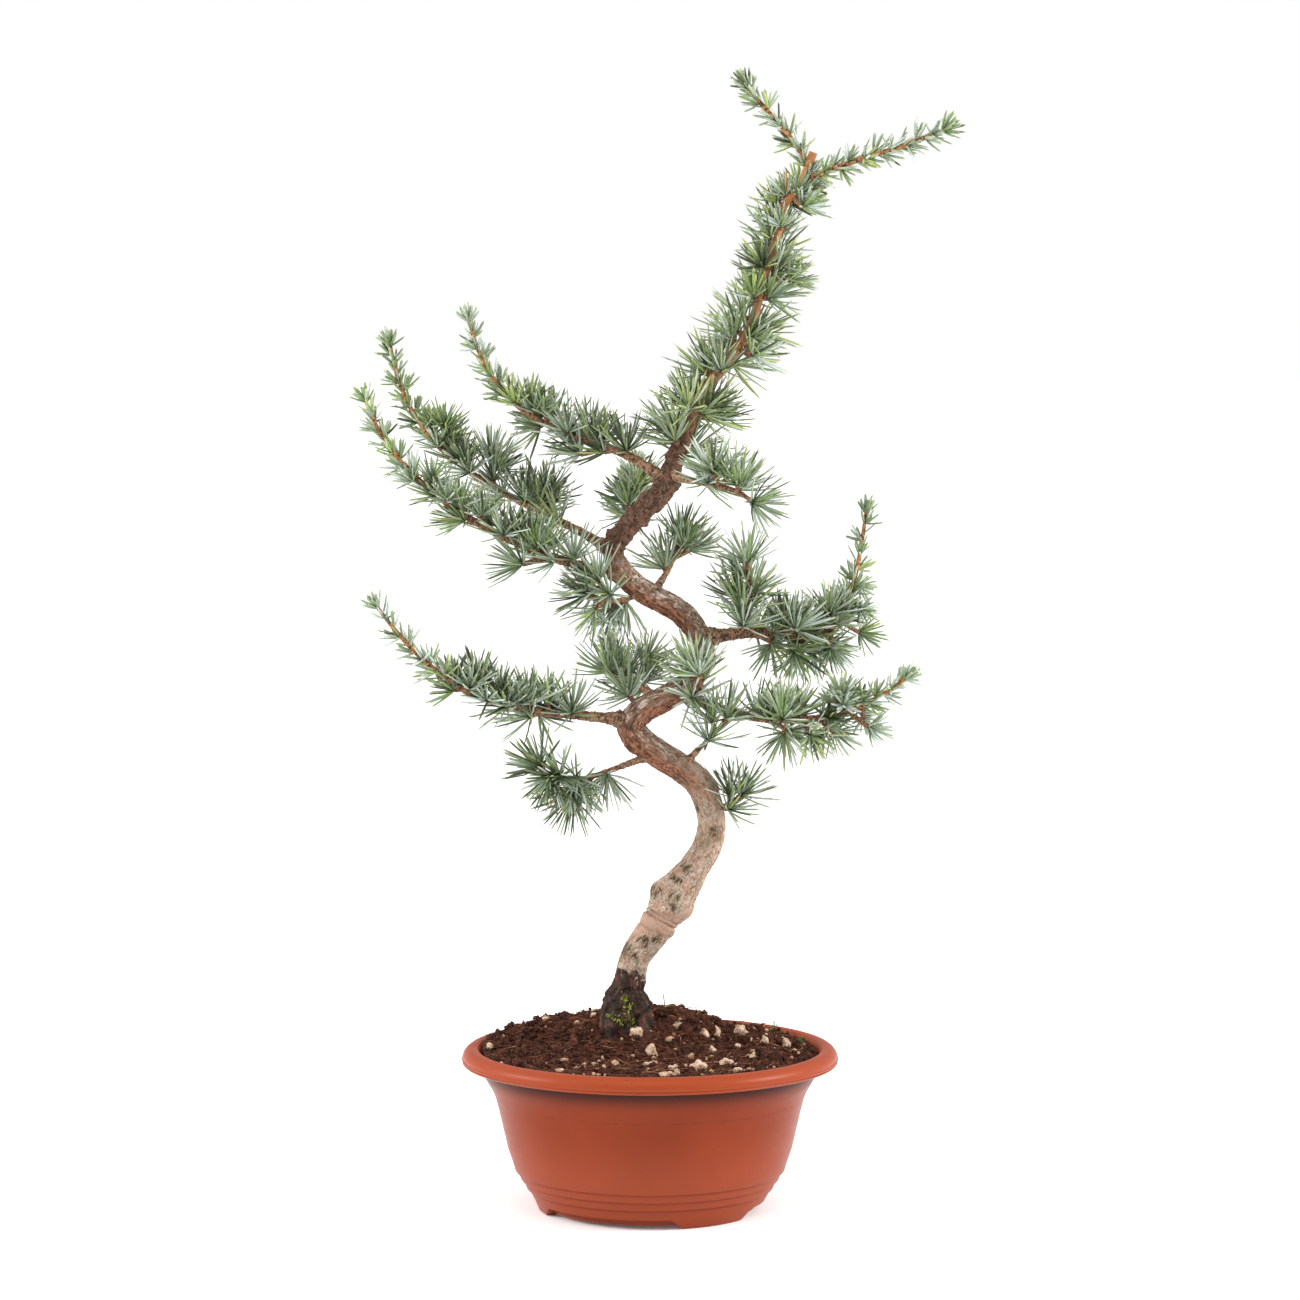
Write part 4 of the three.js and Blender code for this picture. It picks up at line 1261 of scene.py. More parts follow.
@dataclass
class SoilBed:
    """The heaped peat in the bowl, with its fibres, crumbs, pumice, moss and weeds."""

    edge_height: float = 92.0
    edge_radius: float = 97.8
    rim_rise: float = 4.5
    heaps: Rows = ((-8, 30, 43, 34, 19), (24, 34, 12, 13, 4.5), (-60, 44, 17, 13, 4), (-14, -14, 15, 11, 3),
                   (-86, 24, 14, 18, 3.2), (-31, 6, 6, 8, 4), (8, 20, 9, 10, 2.4))
    wall: Rows = ((95.6, 84.2), (88.2, 71.8), (79.8, 36.3), (67.2, 9.2))
    segments: int = 200
    rings: int = 58
    crumbs: int = 2200
    litter: Sequence[Strands] = (
        Strands("soil_fibres_dark", 2730, Plain("soil_fibres_dark", srgb(40, 22, 16), 0.9, 0.15)),
        Strands("soil_fibres_brown", 4200, Plain("soil_fibres_brown", srgb(94, 53, 37), 0.9, 0.15)),
        Strands("soil_fibres_red", 3570, Plain("soil_fibres_red", srgb(150, 96, 69), 0.9, 0.15)),
        Strands("soil_straws", 320, Plain("straw", srgb(192, 150, 106), 0.8), (7, 20), (0.25, 0.5), 0.3),
    )
    grains: int = 240
    sprouts: Rows = ((74, 50, 7, 8), (79, 43, 5, 5), (89, 14, 16, 7), (9, 67, 0, 16))
    clods: Rows = ((70, -34, 6.5), (-70, 30, 3.4), (-24, 8, 3.6), (20, 6, 3.2))
    stones: Rows = (
        (0.6, -29, 5.2), (-7.9, -17, 4.8), (-62, 39, 4.4), (-93, -4, 4.6), (-1, -53, 4), (32, 1, 4.8),
        (51, -13, 4.2), (28, -63, 5.4), (13, -60, 4), (9, -80, 5), (67, 1, 4.2), (38, 8, 4.6),
        (53, 13, 4.4), (17, 8, 4.2), (-33, 22, 3.6), (-51, -71, 3.4), (44, -52, 4.6), (60, -30, 3.6),
        (24, -30, 3.4), (71, -22, 4.2), (36, -20, 3.8), (50, -66, 3.2), (-26, -60, 3), (80, 8, 3.6),
    )
    foot: Span = (-14.6, 0.0)
    foot_radius: float = 15.5

    def height(self, places: Array) -> Array:
        """The height of the soil's surface, with its heaps, and its clods that fade out at the wall.

        Args:
            places: the places, one row each.

        Returns:
            The height at each.
        """
        total = np.full(len(places), self.edge_height)
        for x, y, wide, deep, high in self.heaps:
            off = ((places[:, 0] - x) / wide) ** 2 + ((places[:, 1] - y) / deep) ** 2
            total += high * np.exp(-off / 2)
        flat = np.column_stack([places[:, :2], np.zeros(len(places))])
        fade = 1 - smooth(self.edge_radius - 6, self.edge_radius, np.hypot(places[:, 0], places[:, 1]))
        relief = 3.2 * lumps(flat, 15, 3) + 3.2 * lumps(flat, 6.5, 8) + 2.0 * lumps(flat, 2.6, 5)
        return total + relief * mix(0.45, 1, fade) - 0.4

    def seated(self, rows: Rows) -> Array:
        """Rows of x and y as places on the soil's surface."""
        spots = np.array(rows)
        return np.column_stack([spots[:, :2], self.height(spots)])

    def mesh(self) -> Mesh:
        """The body of the soil: a ring drawn in to the middle above and down the bowl's wall below."""
        bm = bmesh.new()
        made = bmesh.ops.create_circle(bm, cap_ends=False, segments=self.segments, radius=self.edge_radius)
        for vert in made["verts"]:
            vert.co.z = self.edge_height
        rim = ring = list(bm.edges)
        for k in range(1, self.rings):
            ring = self.drawn(bm, ring, self.edge_radius * (1 - k / self.rings), self.edge_height)
        middle = bmesh.ops.extrude_edge_only(bm, edges=ring)["geom"]
        inner = [item for item in middle if isinstance(item, bmesh.types.BMVert)]
        bmesh.ops.pointmerge(bm, verts=inner, merge_co=(0, 0, self.edge_height))
        top = list(bm.verts)
        ring = rim
        for radius, height in self.wall:
            ring = self.drawn(bm, ring, radius, height)
        bmesh.ops.contextual_create(bm, geom=ring)
        for vert, height in zip(top, self.height(np.array([vert.co for vert in top]))):
            vert.co.z = height
        return finished(bm, "soil_bed")

    @staticmethod
    def drawn(bm: bmesh.types.BMesh, ring: list[bmesh.types.BMEdge], radius: float,
              height: float) -> list[bmesh.types.BMEdge]:
        """Extrudes a ring of edges to another radius and height.

        Args:
            bm: the bmesh that it is part of.
            ring: the ring of edges.
            radius: the new ring's radius.
            height: the new ring's height.

        Returns:
            The new ring of edges.
        """
        made = bmesh.ops.extrude_edge_only(bm, edges=ring)["geom"]
        verts = {item for item in made if isinstance(item, bmesh.types.BMVert)}
        for vert in verts:
            vert.co.xy = vert.co.xy.normalized() * radius
            vert.co.z = height
        edges = [item for item in made if isinstance(item, bmesh.types.BMEdge)]
        return [edge for edge in edges if verts.issuperset(edge.verts)]

    def scattered(self, count: int, rng: Chance, weight: float = 0.0) -> Array:
        """Random places on the soil, clear of the trunk's foot.

        Args:
            count: how many.
            rng: the seeded source of chance.
            weight: how far they crowd to the front right, from 0 to 1.

        Returns:
            The places, one row each.
        """
        radius = (self.edge_radius - 1.5) * np.sqrt(rng.random(4 * count))
        turn = rng.random(4 * count) * 2 * math.pi
        spots = np.column_stack([radius * np.cos(turn), radius * np.sin(turn)])
        clear = np.hypot(*(spots - self.foot).T) > self.foot_radius
        keep = rng.random(4 * count) < mix(1, smooth(-60, 50, spots[:, 0] - 0.5 * spots[:, 1]), weight)
        return self.seated(spots[clear & keep][:count])

    def show_lumps(self, name: str, divisions: int, spots: Array, sizes: Array, rng: Chance,
                   sunk: float, material: Material) -> None:
        """Shows irregular lumps that lie in the soil's surface.

        Args:
            name: the piece's name.
            divisions: how fine each lump is.
            spots: where they lie.
            sizes: their radii.
            rng: the seeded source of chance.
            sunk: how deep they are sunk in, as a share of their radius.
            material: what they are made of.
        """
        ball = unit_ball(divisions)
        squash = rng.uniform(0.55, 1.25, (len(spots), 1, 3))
        corners = ball.corners[None] + rng.uniform(0, 90, (len(spots), 1, 3))
        dents = 1 + 0.55 * lumps(corners.reshape(-1, 3), 0.8).reshape(len(spots), -1, 1)
        centres = spots + UP * (sizes * (1 - 2 * sunk))[:, None] * 0.5
        heap = Heap()
        heap.add(ball, centres[:, None] + ball.corners * squash * dents * sizes[:, None, None])
        show(name, heap.mesh(name), Slot.SOIL, [material])

    def clear_of_wall(self, ends: Array) -> Array:
        """Whether ends of strands lie inside the bowl's narrowing wall, or over its rim."""
        below = np.maximum(0, self.edge_height - ends[:, 2])
        inside = np.hypot(ends[:, 0], ends[:, 1]) < self.edge_radius - below
        return inside | (ends[:, 2] > self.edge_height + self.rim_rise)

    def show_strands(self, kind: Strands, rng: Chance) -> None:
        """Shows thin curved strands that lie on the soil.

        Args:
            kind: what they are like.
            rng: the seeded source of chance.
        """
        spots = self.scattered(kind.count, rng)
        count = len(spots)
        turn = rng.random(count) * 2 * math.pi
        aims = unit(np.column_stack([np.cos(turn), np.sin(turn), rng.uniform(-0.2, 1, count) * kind.rise]))
        bends = unit(np.cross(aims, rng.normal(size=(count, 3)))) * rng.uniform(0.3, 1.5, (count, 1))
        bends[:, 2] = -np.abs(bends[:, 2])
        lengths = rng.uniform(*kind.length, count)
        widths = rng.uniform(*kind.width, count)[:, None] * np.array([1.0, 0.8])
        roots = spots - aims * (lengths * 0.4)[:, None] + UP * 0.2
        keep = self.clear_of_wall(roots) & self.clear_of_wall(roots + lengths[:, None] * (aims + bends))
        shape = unit_tube(3, len(kind.profile) - 1)
        heap = Heap()
        heap.add(shape, strands(shape, *(part[keep] for part in (roots, aims, bends, lengths, widths)),
                                kind.profile))
        show(kind.name, heap.mesh(kind.name), Slot.SOIL, [kind.finish.material()])

    def build(self) -> None:
        """Shows the soil and what lies in it."""
        rng = np.random.default_rng(41)
        peat = Peat().material()
        show("soil_bed", self.mesh(), Slot.SOIL, [peat], ["soil"])
        clods, stones = np.array(self.clods), np.array(self.stones)
        spots = np.vstack([self.scattered(self.crumbs, rng), self.seated(clods)])
        sizes = np.append(rng.gamma(3, 0.32, len(spots) - len(clods)) + 0.3, clods[:, 2])
        self.show_lumps("soil_crumbs", 1, spots, sizes, rng, 0.3, peat)
        for kind in self.litter:
            self.show_strands(kind, rng)
        spots = self.scattered(self.grains, rng, 0.85)
        pale = Pumice("pumice_pale", srgb(188, 157, 127), srgb(132, 96, 72)).material()
        self.show_lumps("pumice_grains", 1, spots, rng.gamma(4, 0.22, len(spots)) + 0.4, rng, 0.38, pale)
        white = Pumice("pumice_white", srgb(203, 177, 152), srgb(150, 114, 88)).material()
        self.show_lumps("pumice_stones", 3, self.seated(stones), stones[:, 2] * 0.76, rng, 0.3, white)
        self.show_sprouts(rng)

    def show_sprouts(self, rng: Chance) -> None:
        """Shows the few seedlings and the blade of grass that have come up in the soil.

        Args:
            rng: the seeded source of chance.
        """
        heap = Heap()
        shape = unit_tube(4, 4, pointed=True)
        outline = ((0, 0.4), (0.3, 0.9), (0.6, 1), (0.85, 0.6), (1, 0))
        for x, y, leaves, high in self.sprouts:
            foot = self.seated([[x, y]])[0] - UP
            rise = np.append(rng.random(leaves) * high * 0.6, 0)[:, None]
            aims = unit(np.vstack([rng.normal(size=(leaves, 3)) * 0.55, np.zeros(3)]) + UP)
            lengths = np.append(rng.uniform(0.35, 0.6, leaves) * high, high)
            widths = np.array([[1.5, 0.4]] * leaves + [[1.1, 0.8]])
            bends = rng.normal(size=(leaves + 1, 3)) * 0.2
            heap.add(shape, strands(shape, foot + UP * rise, aims, bends, lengths, widths, outline))
        show("sprouts", heap.mesh("sprouts"), Slot.NEEDLES, [Plain("sprout", srgb(78, 104, 42)).material()])


@dataclass
class Trunk:
    """The whole winding trunk, with its scaly collar, grafted fold, knobs and pruned knots."""

    tree: Skeleton
    sides: int = 80
    rings: int = 1080
    flare_top: float = 131.0
    flare_lobes: int = 5
    flare_depth: float = 0.09
    fold: tuple[float, float, float] = (4.7, 0.0, 170.3)
    creases: Rows = ((0.0, 1.6, 0.8), (2.5, 1.0, 0.8), (-7.5, 0.8, 1.2))
    knobs: Rows = ((181, 182, 4.4, 2.7), (186, 215, 4.0, 1.5), (179, 0, 4.6, 2.2), (178, 300, 5, 1.1),
                   (281, 150, 2.4, 1.8), (243, 20, 2.2, 1.6), (247, 350, 2, 1.2), (322, 10, 2.0, 1.4),
                   (352, 60, 2.2, 1.8), (392, 170, 2.4, 1.8), (405, 20, 2.4, 2.2), (412, 200, 2.2, 1.6),
                   (398, 300, 2.4, 1.4), (425, 0, 2.2, 1.8), (166, 10, 2.6, 1.0))
    knots: Rows = ((283, 262, 3.8, 1.8), (276, 222, 3.0, 1.3), (330, 285, 2.6, 0.9), (252, 60, 2.6, 0.9))
    lobes: Rows = ((-21, 119, 4.6, 9, 15, 2.4), (-6, 118, 2.2, 9, -52, 3.0), (-8, 111.5, 2.6, 6, -50, -2.2),
                   (-13, 128.5, 16, 1.6, 0, -0.9), (-25, 108, 3.4, 7, 10, 1.8), (-1, 107, 3, 7, -20, 2.0))
    moss: Rows = ((-14.2, 119.5, 1.8, 4.6), (-18, 112.6, 2.4, 2.6), (-10, 108.5, 1.8, 3.6),
                  (-24.5, 114.5, 1.2, 1.8))
    moss_count: int = 230
    usual_radius: float = 8.5

    def relief(self, along: Array, heights: Array, sky: Array) -> Array:
        """How far the bark stands out over the trunk's plain round surface.

        Args:
            along: the corners' places on the trunk as if it were straight.
            heights: their heights.
            sky: how far they face up, from -1 to 1.

        Returns:
            The relief for each corner, in millimetres.
        """
        drawn = along * np.array([1, 1, 0.4])
        foot = 1 - smooth(128, 137, heights)
        flaky = smooth(372, 390, heights) * (1 - smooth(448, 470, heights))
        under = (1 - smooth(-0.5, 0.3, sky)) * smooth(225, 245, heights) * (1 - smooth(366, 384, heights))
        relief = 0.36 * lumps(drawn, 3.4, 2) + 0.24 * lumps(along, 1.5, 3)
        relief += under * 0.55 * (0.5 - 2 * np.abs(lumps(along * np.array([1, 1, 0.36]), 1.5, 9)))
        torn = smooth(-0.04, 0.06, lumps(along * np.array([1, 1, 0.7]), 2.9, 6))
        relief += flaky * (1.1 * torn + 0.7 * lumps(along, 1.6, 7) - 0.6)
        rugged = smooth(262, 290, heights) * (1 - smooth(368, 380, heights))
        relief -= 0.7 * rugged * smooth(0.2, 0.36, lumps(along * np.array([1, 1, 0.4]), 1.8, 14))
        relief += 0.3 * rugged * lumps(along, 0.9, 21)
        scales = smooth(-0.05, 0.04, lumps(drawn, 6.5, 4)), smooth(-0.05, 0.05, lumps(drawn, 3.0, 5))
        relief += foot * (1.7 * scales[0] + 1.0 * scales[1] + 0.6 * lumps(along, 1.6, 8) - 1.2)
        return relief * (1 - 0.65 * smooth(440, 520, heights))

    def swellings(self, places: Array, heights: Array, turns: Array) -> Array:
        """The knobs, the pruned knots with their rims, the creases of the graft's fold and the root lobes.

        Args:
            places: the surface's corners.
            heights: the heights of the trunk's axis beside them.
            turns: the compass directions in which they face.

        Returns:
            How far each corner stands out, in millimetres.
        """
        total = np.zeros(len(heights))
        for height, turn, size, high in self.knobs:
            off = self.apart(heights, turns, height, turn)
            total += high * np.exp(-(off / size) ** 2)
        for height, turn, size, high in self.knots:
            off = self.apart(heights, turns, height, turn)
            total += high * np.exp(-((off - size * 0.72) / (size * 0.34)) ** 2)
            total -= 0.6 * high * np.exp(-(off / (size * 0.4)) ** 2)
        forward = self.tree.trunk.tangent(self.tree.share_at(self.fold[2]))
        off = (places - np.array(self.fold)) @ forward
        broken = 0.75 + 0.5 * lumps(places, 9, 12)
        for place, deep, wide in self.creases:
            total -= deep * broken * np.exp(-((off - place) / wide) ** 2)
        for x, height, wide, tall, tilt, high in self.lobes:
            lean = math.radians(tilt)
            aside, above = places[:, 0] - x, places[:, 2] - height
            across = aside * math.cos(lean) + above * math.sin(lean)
            upward = above * math.cos(lean) - aside * math.sin(lean)
            raised = high * np.exp(-(across / wide) ** 2 - (upward / tall) ** 2)
            total += raised * smooth(5, -3, places[:, 1])
        return total

    def apart(self, heights: Array, turns: Array, height: float, turn: float) -> Array:
        """How far corners lie from a spot at a height and a compass direction."""
        across = np.radians((np.degrees(turns) - turn + 180) % 360 - 180) * self.usual_radius
        return np.hypot(heights - height, across)

    def mesh(self) -> Mesh:
        """The trunk's mesh, closed at its flat foot and at its pruned top."""
        frames = frames_along(self.tree.trunk, np.linspace(0, 1, self.rings + 1))
        shape = unit_tube(self.sides, self.rings)
        own, around = shape.ring(self.rings), shape.around()
        centres = columns(frames, "centre")[0]
        passed = np.concatenate([[0], np.cumsum(np.linalg.norm(np.diff(centres, axis=0), axis=1))])
        plain = np.array([self.tree.trunk_radius(stand.share) for stand in frames])
        foot = self.tree.turns[0][2]
        flare = np.maximum(0, (self.flare_top - centres[own, 2]) / (self.flare_top - foot))
        radii = plain[own] * (1 + self.flare_depth * flare * np.cos(self.flare_lobes * around))
        rough = put_on(shape, frames, radii)
        outward = unit(rough - centres[own])
        along = np.column_stack([radii * np.cos(around), radii * np.sin(around), passed[own]])
        relief = self.relief(along, rough[:, 2], outward[:, 2])
        turns = np.arctan2(outward[:, 1], outward[:, 0])
        raised = self.swellings(rough, centres[own, 2], turns)
        waves = 0.5 * lumps(along * np.array([1, 1, 0.4]), 8, 1)
        places = put_on(shape, frames, radii + waves + relief + raised)
        places[own == 0, 2] = foot
        self.surface = places
        heap = Heap()
        sunk = -(relief + np.minimum(raised, 0)) / 0.9
        heap.add(shape, places, along=along * MM, sky=outward[:, 2], sunk=sunk)
        return heap.mesh("trunk_bark")

    def show_moss(self) -> None:
        """Shows the tiny bright leaves of moss in the cracks of the foot."""
        rng = np.random.default_rng(73)
        front = self.surface[(self.surface[:, 1] < -3) & (self.surface[:, 2] < 142)]
        weight = np.zeros(len(front))
        for x, height, wide, high in self.moss:
            weight += np.exp(-(((front[:, 0] - x) / wide) ** 2 + ((front[:, 2] - height) / high) ** 2))
        weight *= smooth(-0.1, 0.35, lumps(front, 2.6, 20)) + 0.02
        count = self.moss_count
        roots = front[rng.choice(len(front), count, p=weight / weight.sum())]
        out = unit((roots - np.array([self.tree.turns[0][0], 3.0, 0])) * np.array([1, 1, 0]))
        aims = unit(out + UP * rng.uniform(-0.2, 1.0, (count, 1)) + 0.7 * rng.normal(size=(count, 3)))
        bends = 0.3 * rng.normal(size=(count, 3))
        widths = rng.uniform(0.5, 0.9, count)[:, None] * np.array([1.0, 0.35])
        lengths = rng.uniform(0.8, 1.9, count)
        shape = unit_tube(4, 3, pointed=True)
        outline = ((0, 0.4), (0.35, 1), (0.75, 0.7), (1, 0))
        heap = Heap()
        heap.add(shape, strands(shape, roots - out * 0.3, aims, bends, lengths, widths, outline))
        show("moss", heap.mesh("moss"), Slot.NEEDLES, [Plain("moss", srgb(152, 166, 60)).material()])

    def build(self) -> None:
        """Shows the trunk."""
        show("trunk_bark", self.mesh(), Slot.BARK, [TrunkBark().material()], ["trunk"])
        self.show_moss()


@dataclass
class Limbs:
    """The boughs, the stems in the foliage, the spurs under the whorls, and this year's shoots."""

    tree: Skeleton
    sides: int = 16
    ring_step: float = 0.7
    ridge: float = 0.14
    collar: float = 0.7
    collar_reach: float = 5.0
    spur_sides: int = 8

    def tube(self, heap: Heap, curve: Curve, low: float, high: float, radius: Callable[[float], float],
             ridge: float, seed: int) -> None:
        """Adds a stretch of limb with ringed, knobbly bark.

        Args:
            heap: what the limb is added to.
            curve: the limb's line.
            low: the share where the stretch starts.
            high: the share where it ends.
            radius: gives the radius at a share.
            ridge: how high the rings stand, as a share of the radius.
            seed: moves the relief, so that limbs differ.
        """
        rings = max(3, int(curve.length() * (high - low) / self.ring_step))
        frames = frames_along(curve, np.linspace(low, high, rings + 1))
        shape = unit_tube(self.sides, rings)
        ring = shape.ring(rings)
        plain = np.array([radius(stand.share) for stand in frames])[ring]
        rough = put_on(shape, frames, plain)
        bark = lumps(rough, 2.4, seed) + 0.6 * lumps(rough, 1.1, seed + 3)
        rows = (ridge * 0.9 * (np.random.default_rng(seed).random(rings + 1) < 0.36))[ring]
        places = put_on(shape, frames, plain * (1 + rows + 1.3 * ridge * bark))
        heap.add(shape, places, sunk=-1.6 * (rows / ridge * 0.6 + bark - 0.25))

    def spur(self, heap: Heap, whorl: Whorl) -> None:
        """Adds a short ringed spur from a stem to a whorl's bud.

        Args:
            heap: what the spur is added to.
            whorl: the whorl.
        """
        foot, head = whorl.foot, whorl.centre
        rings = max(4, int(float(np.linalg.norm(head - foot)) / 1.1))
        shape = unit_tube(self.spur_sides, rings)
        bend = Bend(foot, (mix(foot, head, 0.35), mix(foot, head, 0.75)), head)
        swell = np.array([1.15 + 0.2 * (k % 2) for k in range(rings)] + [0.7])[shape.ring(rings)]
        places = put_on(shape, frames_along(bend, np.linspace(0, 1, rings + 1)), whorl.thickness * swell)
        heap.add(shape, places, sunk=(1.3 - swell) * 4)

    def build(self) -> None:
        """Shows the boughs, stems, spurs and young shoots."""
        boughs, twigs, young = Heap(), Heap(), Heap()
        for seed, (name, branch) in enumerate(self.tree.boughs.items()):
            curve = self.tree.limbs[name]
            trunk_radius = self.tree.trunk_radius(self.tree.share_at(branch.leave))
            long = curve.length()

            def swollen(share: float) -> float:
                """The bough's radius with its collar at the trunk."""
                off = max(0.0, share * long - trunk_radius)
                return mix(*branch.radius, share) * (1 + self.collar * math.exp(-off / self.collar_reach))

            self.tube(boughs, curve, 0, branch.bare + 0.004, swollen, self.ridge, 10 * seed)
        for seed, mass in enumerate(self.tree.masses):
            if mass.on_leader:
                continue
            self.tube(twigs, mass.curve, mass.start, mass.shoot_start, mass.thickness, self.ridge, 7 * seed)
            if mass.shoot:
                self.tube(young, mass.curve, mass.shoot_start - 0.01, 1, mass.thickness, 0.05, 5 * seed)
        for mass in self.tree.masses:
            for whorl in mass.whorls:
                self.spur(twigs, whorl)
        names = [f"bough_{name}" for name in self.tree.boughs]
        masses = [f"foliage_{mass.name}" for mass in self.tree.masses]
        weathered = TwigBark("bough_bark", srgb(160, 127, 101), srgb(98, 69, 51))
        knobbly = TwigBark("twig_bark", srgb(160, 122, 92), srgb(98, 66, 48), 1.1)
        orange = TwigBark("shoot_bark", srgb(184, 132, 84), srgb(142, 94, 58), 2.2)
        show("boughs", boughs.mesh("boughs"), Slot.BOUGH, [weathered.material()], names)
        show("twigs", twigs.mesh("twigs"), Slot.BOUGH, [knobbly.material()], masses)
        show("young_shoots", young.mesh("young_shoots"), Slot.BOUGH, [orange.material()], masses)


@dataclass
class Foliage:
    """The needles: whorls round buds on old wood, tufts and single needles along this year's shoots."""

    tree: Skeleton
    profile: Rows = ((0, 0.6), (0.1, 0.95), (0.45, 1.0), (0.86, 0.78), (1, 0))
    width: Span = (1.3, 1.7)
    young_width: float = 1.25
    flatness: float = 0.66
    single_step: float = 2.6
    single_lean: float = 1.0
    tuft_step: float = 5.2
    tuft_lean: float = 1.05
    tuft_count: int = 8
    tuft_spread: Span = (6, 52)
    leader_step: float = 9.5
    leader_sway: float = 50.0
    leader_open: float = 0.92
    clearance: float = 0.5
    hanging: dict[str, Span] = field(
        default_factory=lambda: {"mid_right": (0.2, 0.85), "low_right": (0.42, 0.8)})
    hanging_step: float = 9.0
    hanging_length: Span = (8.0, 17.0)
    checks: Sequence[float] = (0.25, 0.5, 0.75, 1.0)
    crowding: float = 6.5
    spur_space: float = 2.2
    young_needle: float = 14
    favour: float = 0.42

    def thicken(self) -> None:
        """Carries each mass on to finer twigs: more spurs on its stem, and one beside each twig."""
        for seed, mass in enumerate(self.tree.masses):
            draw = Draws(500 + seed)
            first = list(mass.whorls)
            self.add_spurs(mass, first, draw)
            for whorl in first:
                line = whorl.centre - whorl.foot
                if np.linalg.norm(line) < 8 or mass.on_leader:
                    continue
                middle = whorl.foot + line * mix(0.45, 0.6, draw())
                turn = draw() * 2 * math.pi
                side = unit(np.cross(line, UP + 1e-3))
                aim = unit(side * math.cos(turn) + np.cross(side, unit(line)) * math.sin(turn) + UP * 0.7)
                mass.whorls.append(Whorl(middle + aim * 4, self.tree.to_light(aim, mass),
                                         whorl.needle * 0.9, middle, 1.0, 26))
            if mass.name in self.hanging:
                self.add_hanging(mass, draw)
            if mass.on_leader:
                self.seat_on_leader(mass)
                self.fill_leader(mass, draw)

    def add_hanging(self, mass: Mass, draw: Draws) -> None:
        """Adds twigs that hang by turns from the underside of a mass's stem.

        Args:
            mass: the mass.
            draw: the row of numbers that they are drawn from.
        """
        shares = shares_between(mass.curve, *self.hanging[mass.name], self.hanging_step)
        for k, stand in enumerate(frames_along(mass.curve, shares)):
            turn = k * GOLDEN_TURN
            aside = np.array([math.cos(turn), math.sin(turn), 0.0])
            aim = unit(aside * 0.8 + stand.forward * 0.4 - UP * 0.9)
            bud = stand.centre + aim * mix(*self.hanging_length, draw())
            if self.tree.near_limb(bud, self.tree.limb_space):
                continue
            needle = self.tree.needle_at(mass, stand.share) * mix(0.85, 1, draw())
            mass.whorls.append(Whorl(bud, unit(aim + UP * 0.35), needle, stand.centre, 1.1, 26))

    def add_spurs(self, mass: Mass, first: Sequence[Whorl], draw: Draws) -> None:
        """Adds short spurs along a mass's stem, half a step apart, where no whorl sits yet.

        Args:
            mass: the mass.
            first: the whorls that it has.
            draw: the row of numbers that they are drawn from.
        """
        step = self.tree.whorl_step / 2 / mass.curve.length()
        shares = np.arange(mass.start + 8 / mass.curve.length(), mass.shoot_start, step)
        for k, stand in enumerate(frames_along(mass.curve, shares)):
            aim = unit(stand.out(k * GOLDEN_TURN + 2) + stand.forward * 0.5 + mass.lift)
            bud = stand.centre + aim * (3.5 + 4 * draw())
            crowded = min((np.linalg.norm(bud - w.centre) for w in first), default=99) < self.crowding
            if mass.on_leader or crowded or self.tree.near_limb(bud, self.spur_space):
                continue
            needle = self.tree.needle_at(mass, stand.share) * mix(0.8, 1, draw())
            aim = self.tree.to_light(aim, mass)
            mass.whorls.append(Whorl(bud, aim, needle, stand.centre, 1.1, int(mix(20, 32, draw()))))

    def seat_on_leader(self, mass: Mass) -> None:
        """Lets each whorl of a leader's mass spring from the trunk beside it.

        Args:
            mass: the leader's mass.
        """
        line = np.array([self.tree.trunk.point(share) for share in np.linspace(0.6, 1, 161)])
        for whorl in mass.whorls:
            near = line[int(np.argmin(np.linalg.norm(whorl.centre - line, axis=1)))]
            whorl.foot = near - UP * 2
            whorl.centre = near + (whorl.centre - near) * 0.72
            whorl.count, whorl.spread = 28, (6, 74)

    def fill_leader(self, mass: Mass, draw: Draws) -> None:
        """Adds whorls that hug the trunk up one side of the leader.

        Args:
            mass: the leader's mass on that side.
            draw: the row of numbers that they are drawn from.
        """
        foot, rise = mass.curve.point(0)[2], self.tree.leader_rise
        middle = math.atan2(mass.lift[1], mass.lift[0])
        for k in range(int(rise / self.leader_step)):
            height = foot + (k + draw()) * self.leader_step
            stand = frames_along(self.tree.trunk, [self.tree.share_at(height)])[0]
            turn = middle + math.radians(self.leader_sway) * (2 * draw() - 1)
            outward = np.array([math.cos(turn), math.sin(turn), 0.0])
            outward = unit(outward - stand.forward * (outward @ stand.forward))
            if draw() < self.leader_open * smooth(0.15, 0.7, -outward[1]):
                continue
            bud = stand.centre + outward * (self.tree.trunk_radius(stand.share) + 2.4)
            aim = unit(outward + stand.forward * 0.75)
            up = (height - self.tree.leader_foot) / (rise * self.tree.leader_tiers)
            needle = float(mix(*self.tree.needle_length, smooth(0.45, 1.2, up))) * 1.06
            mass.whorls.append(Whorl(bud, aim, needle, stand.centre, 1.0, int(mix(22, 15, up)), (6, 70)))

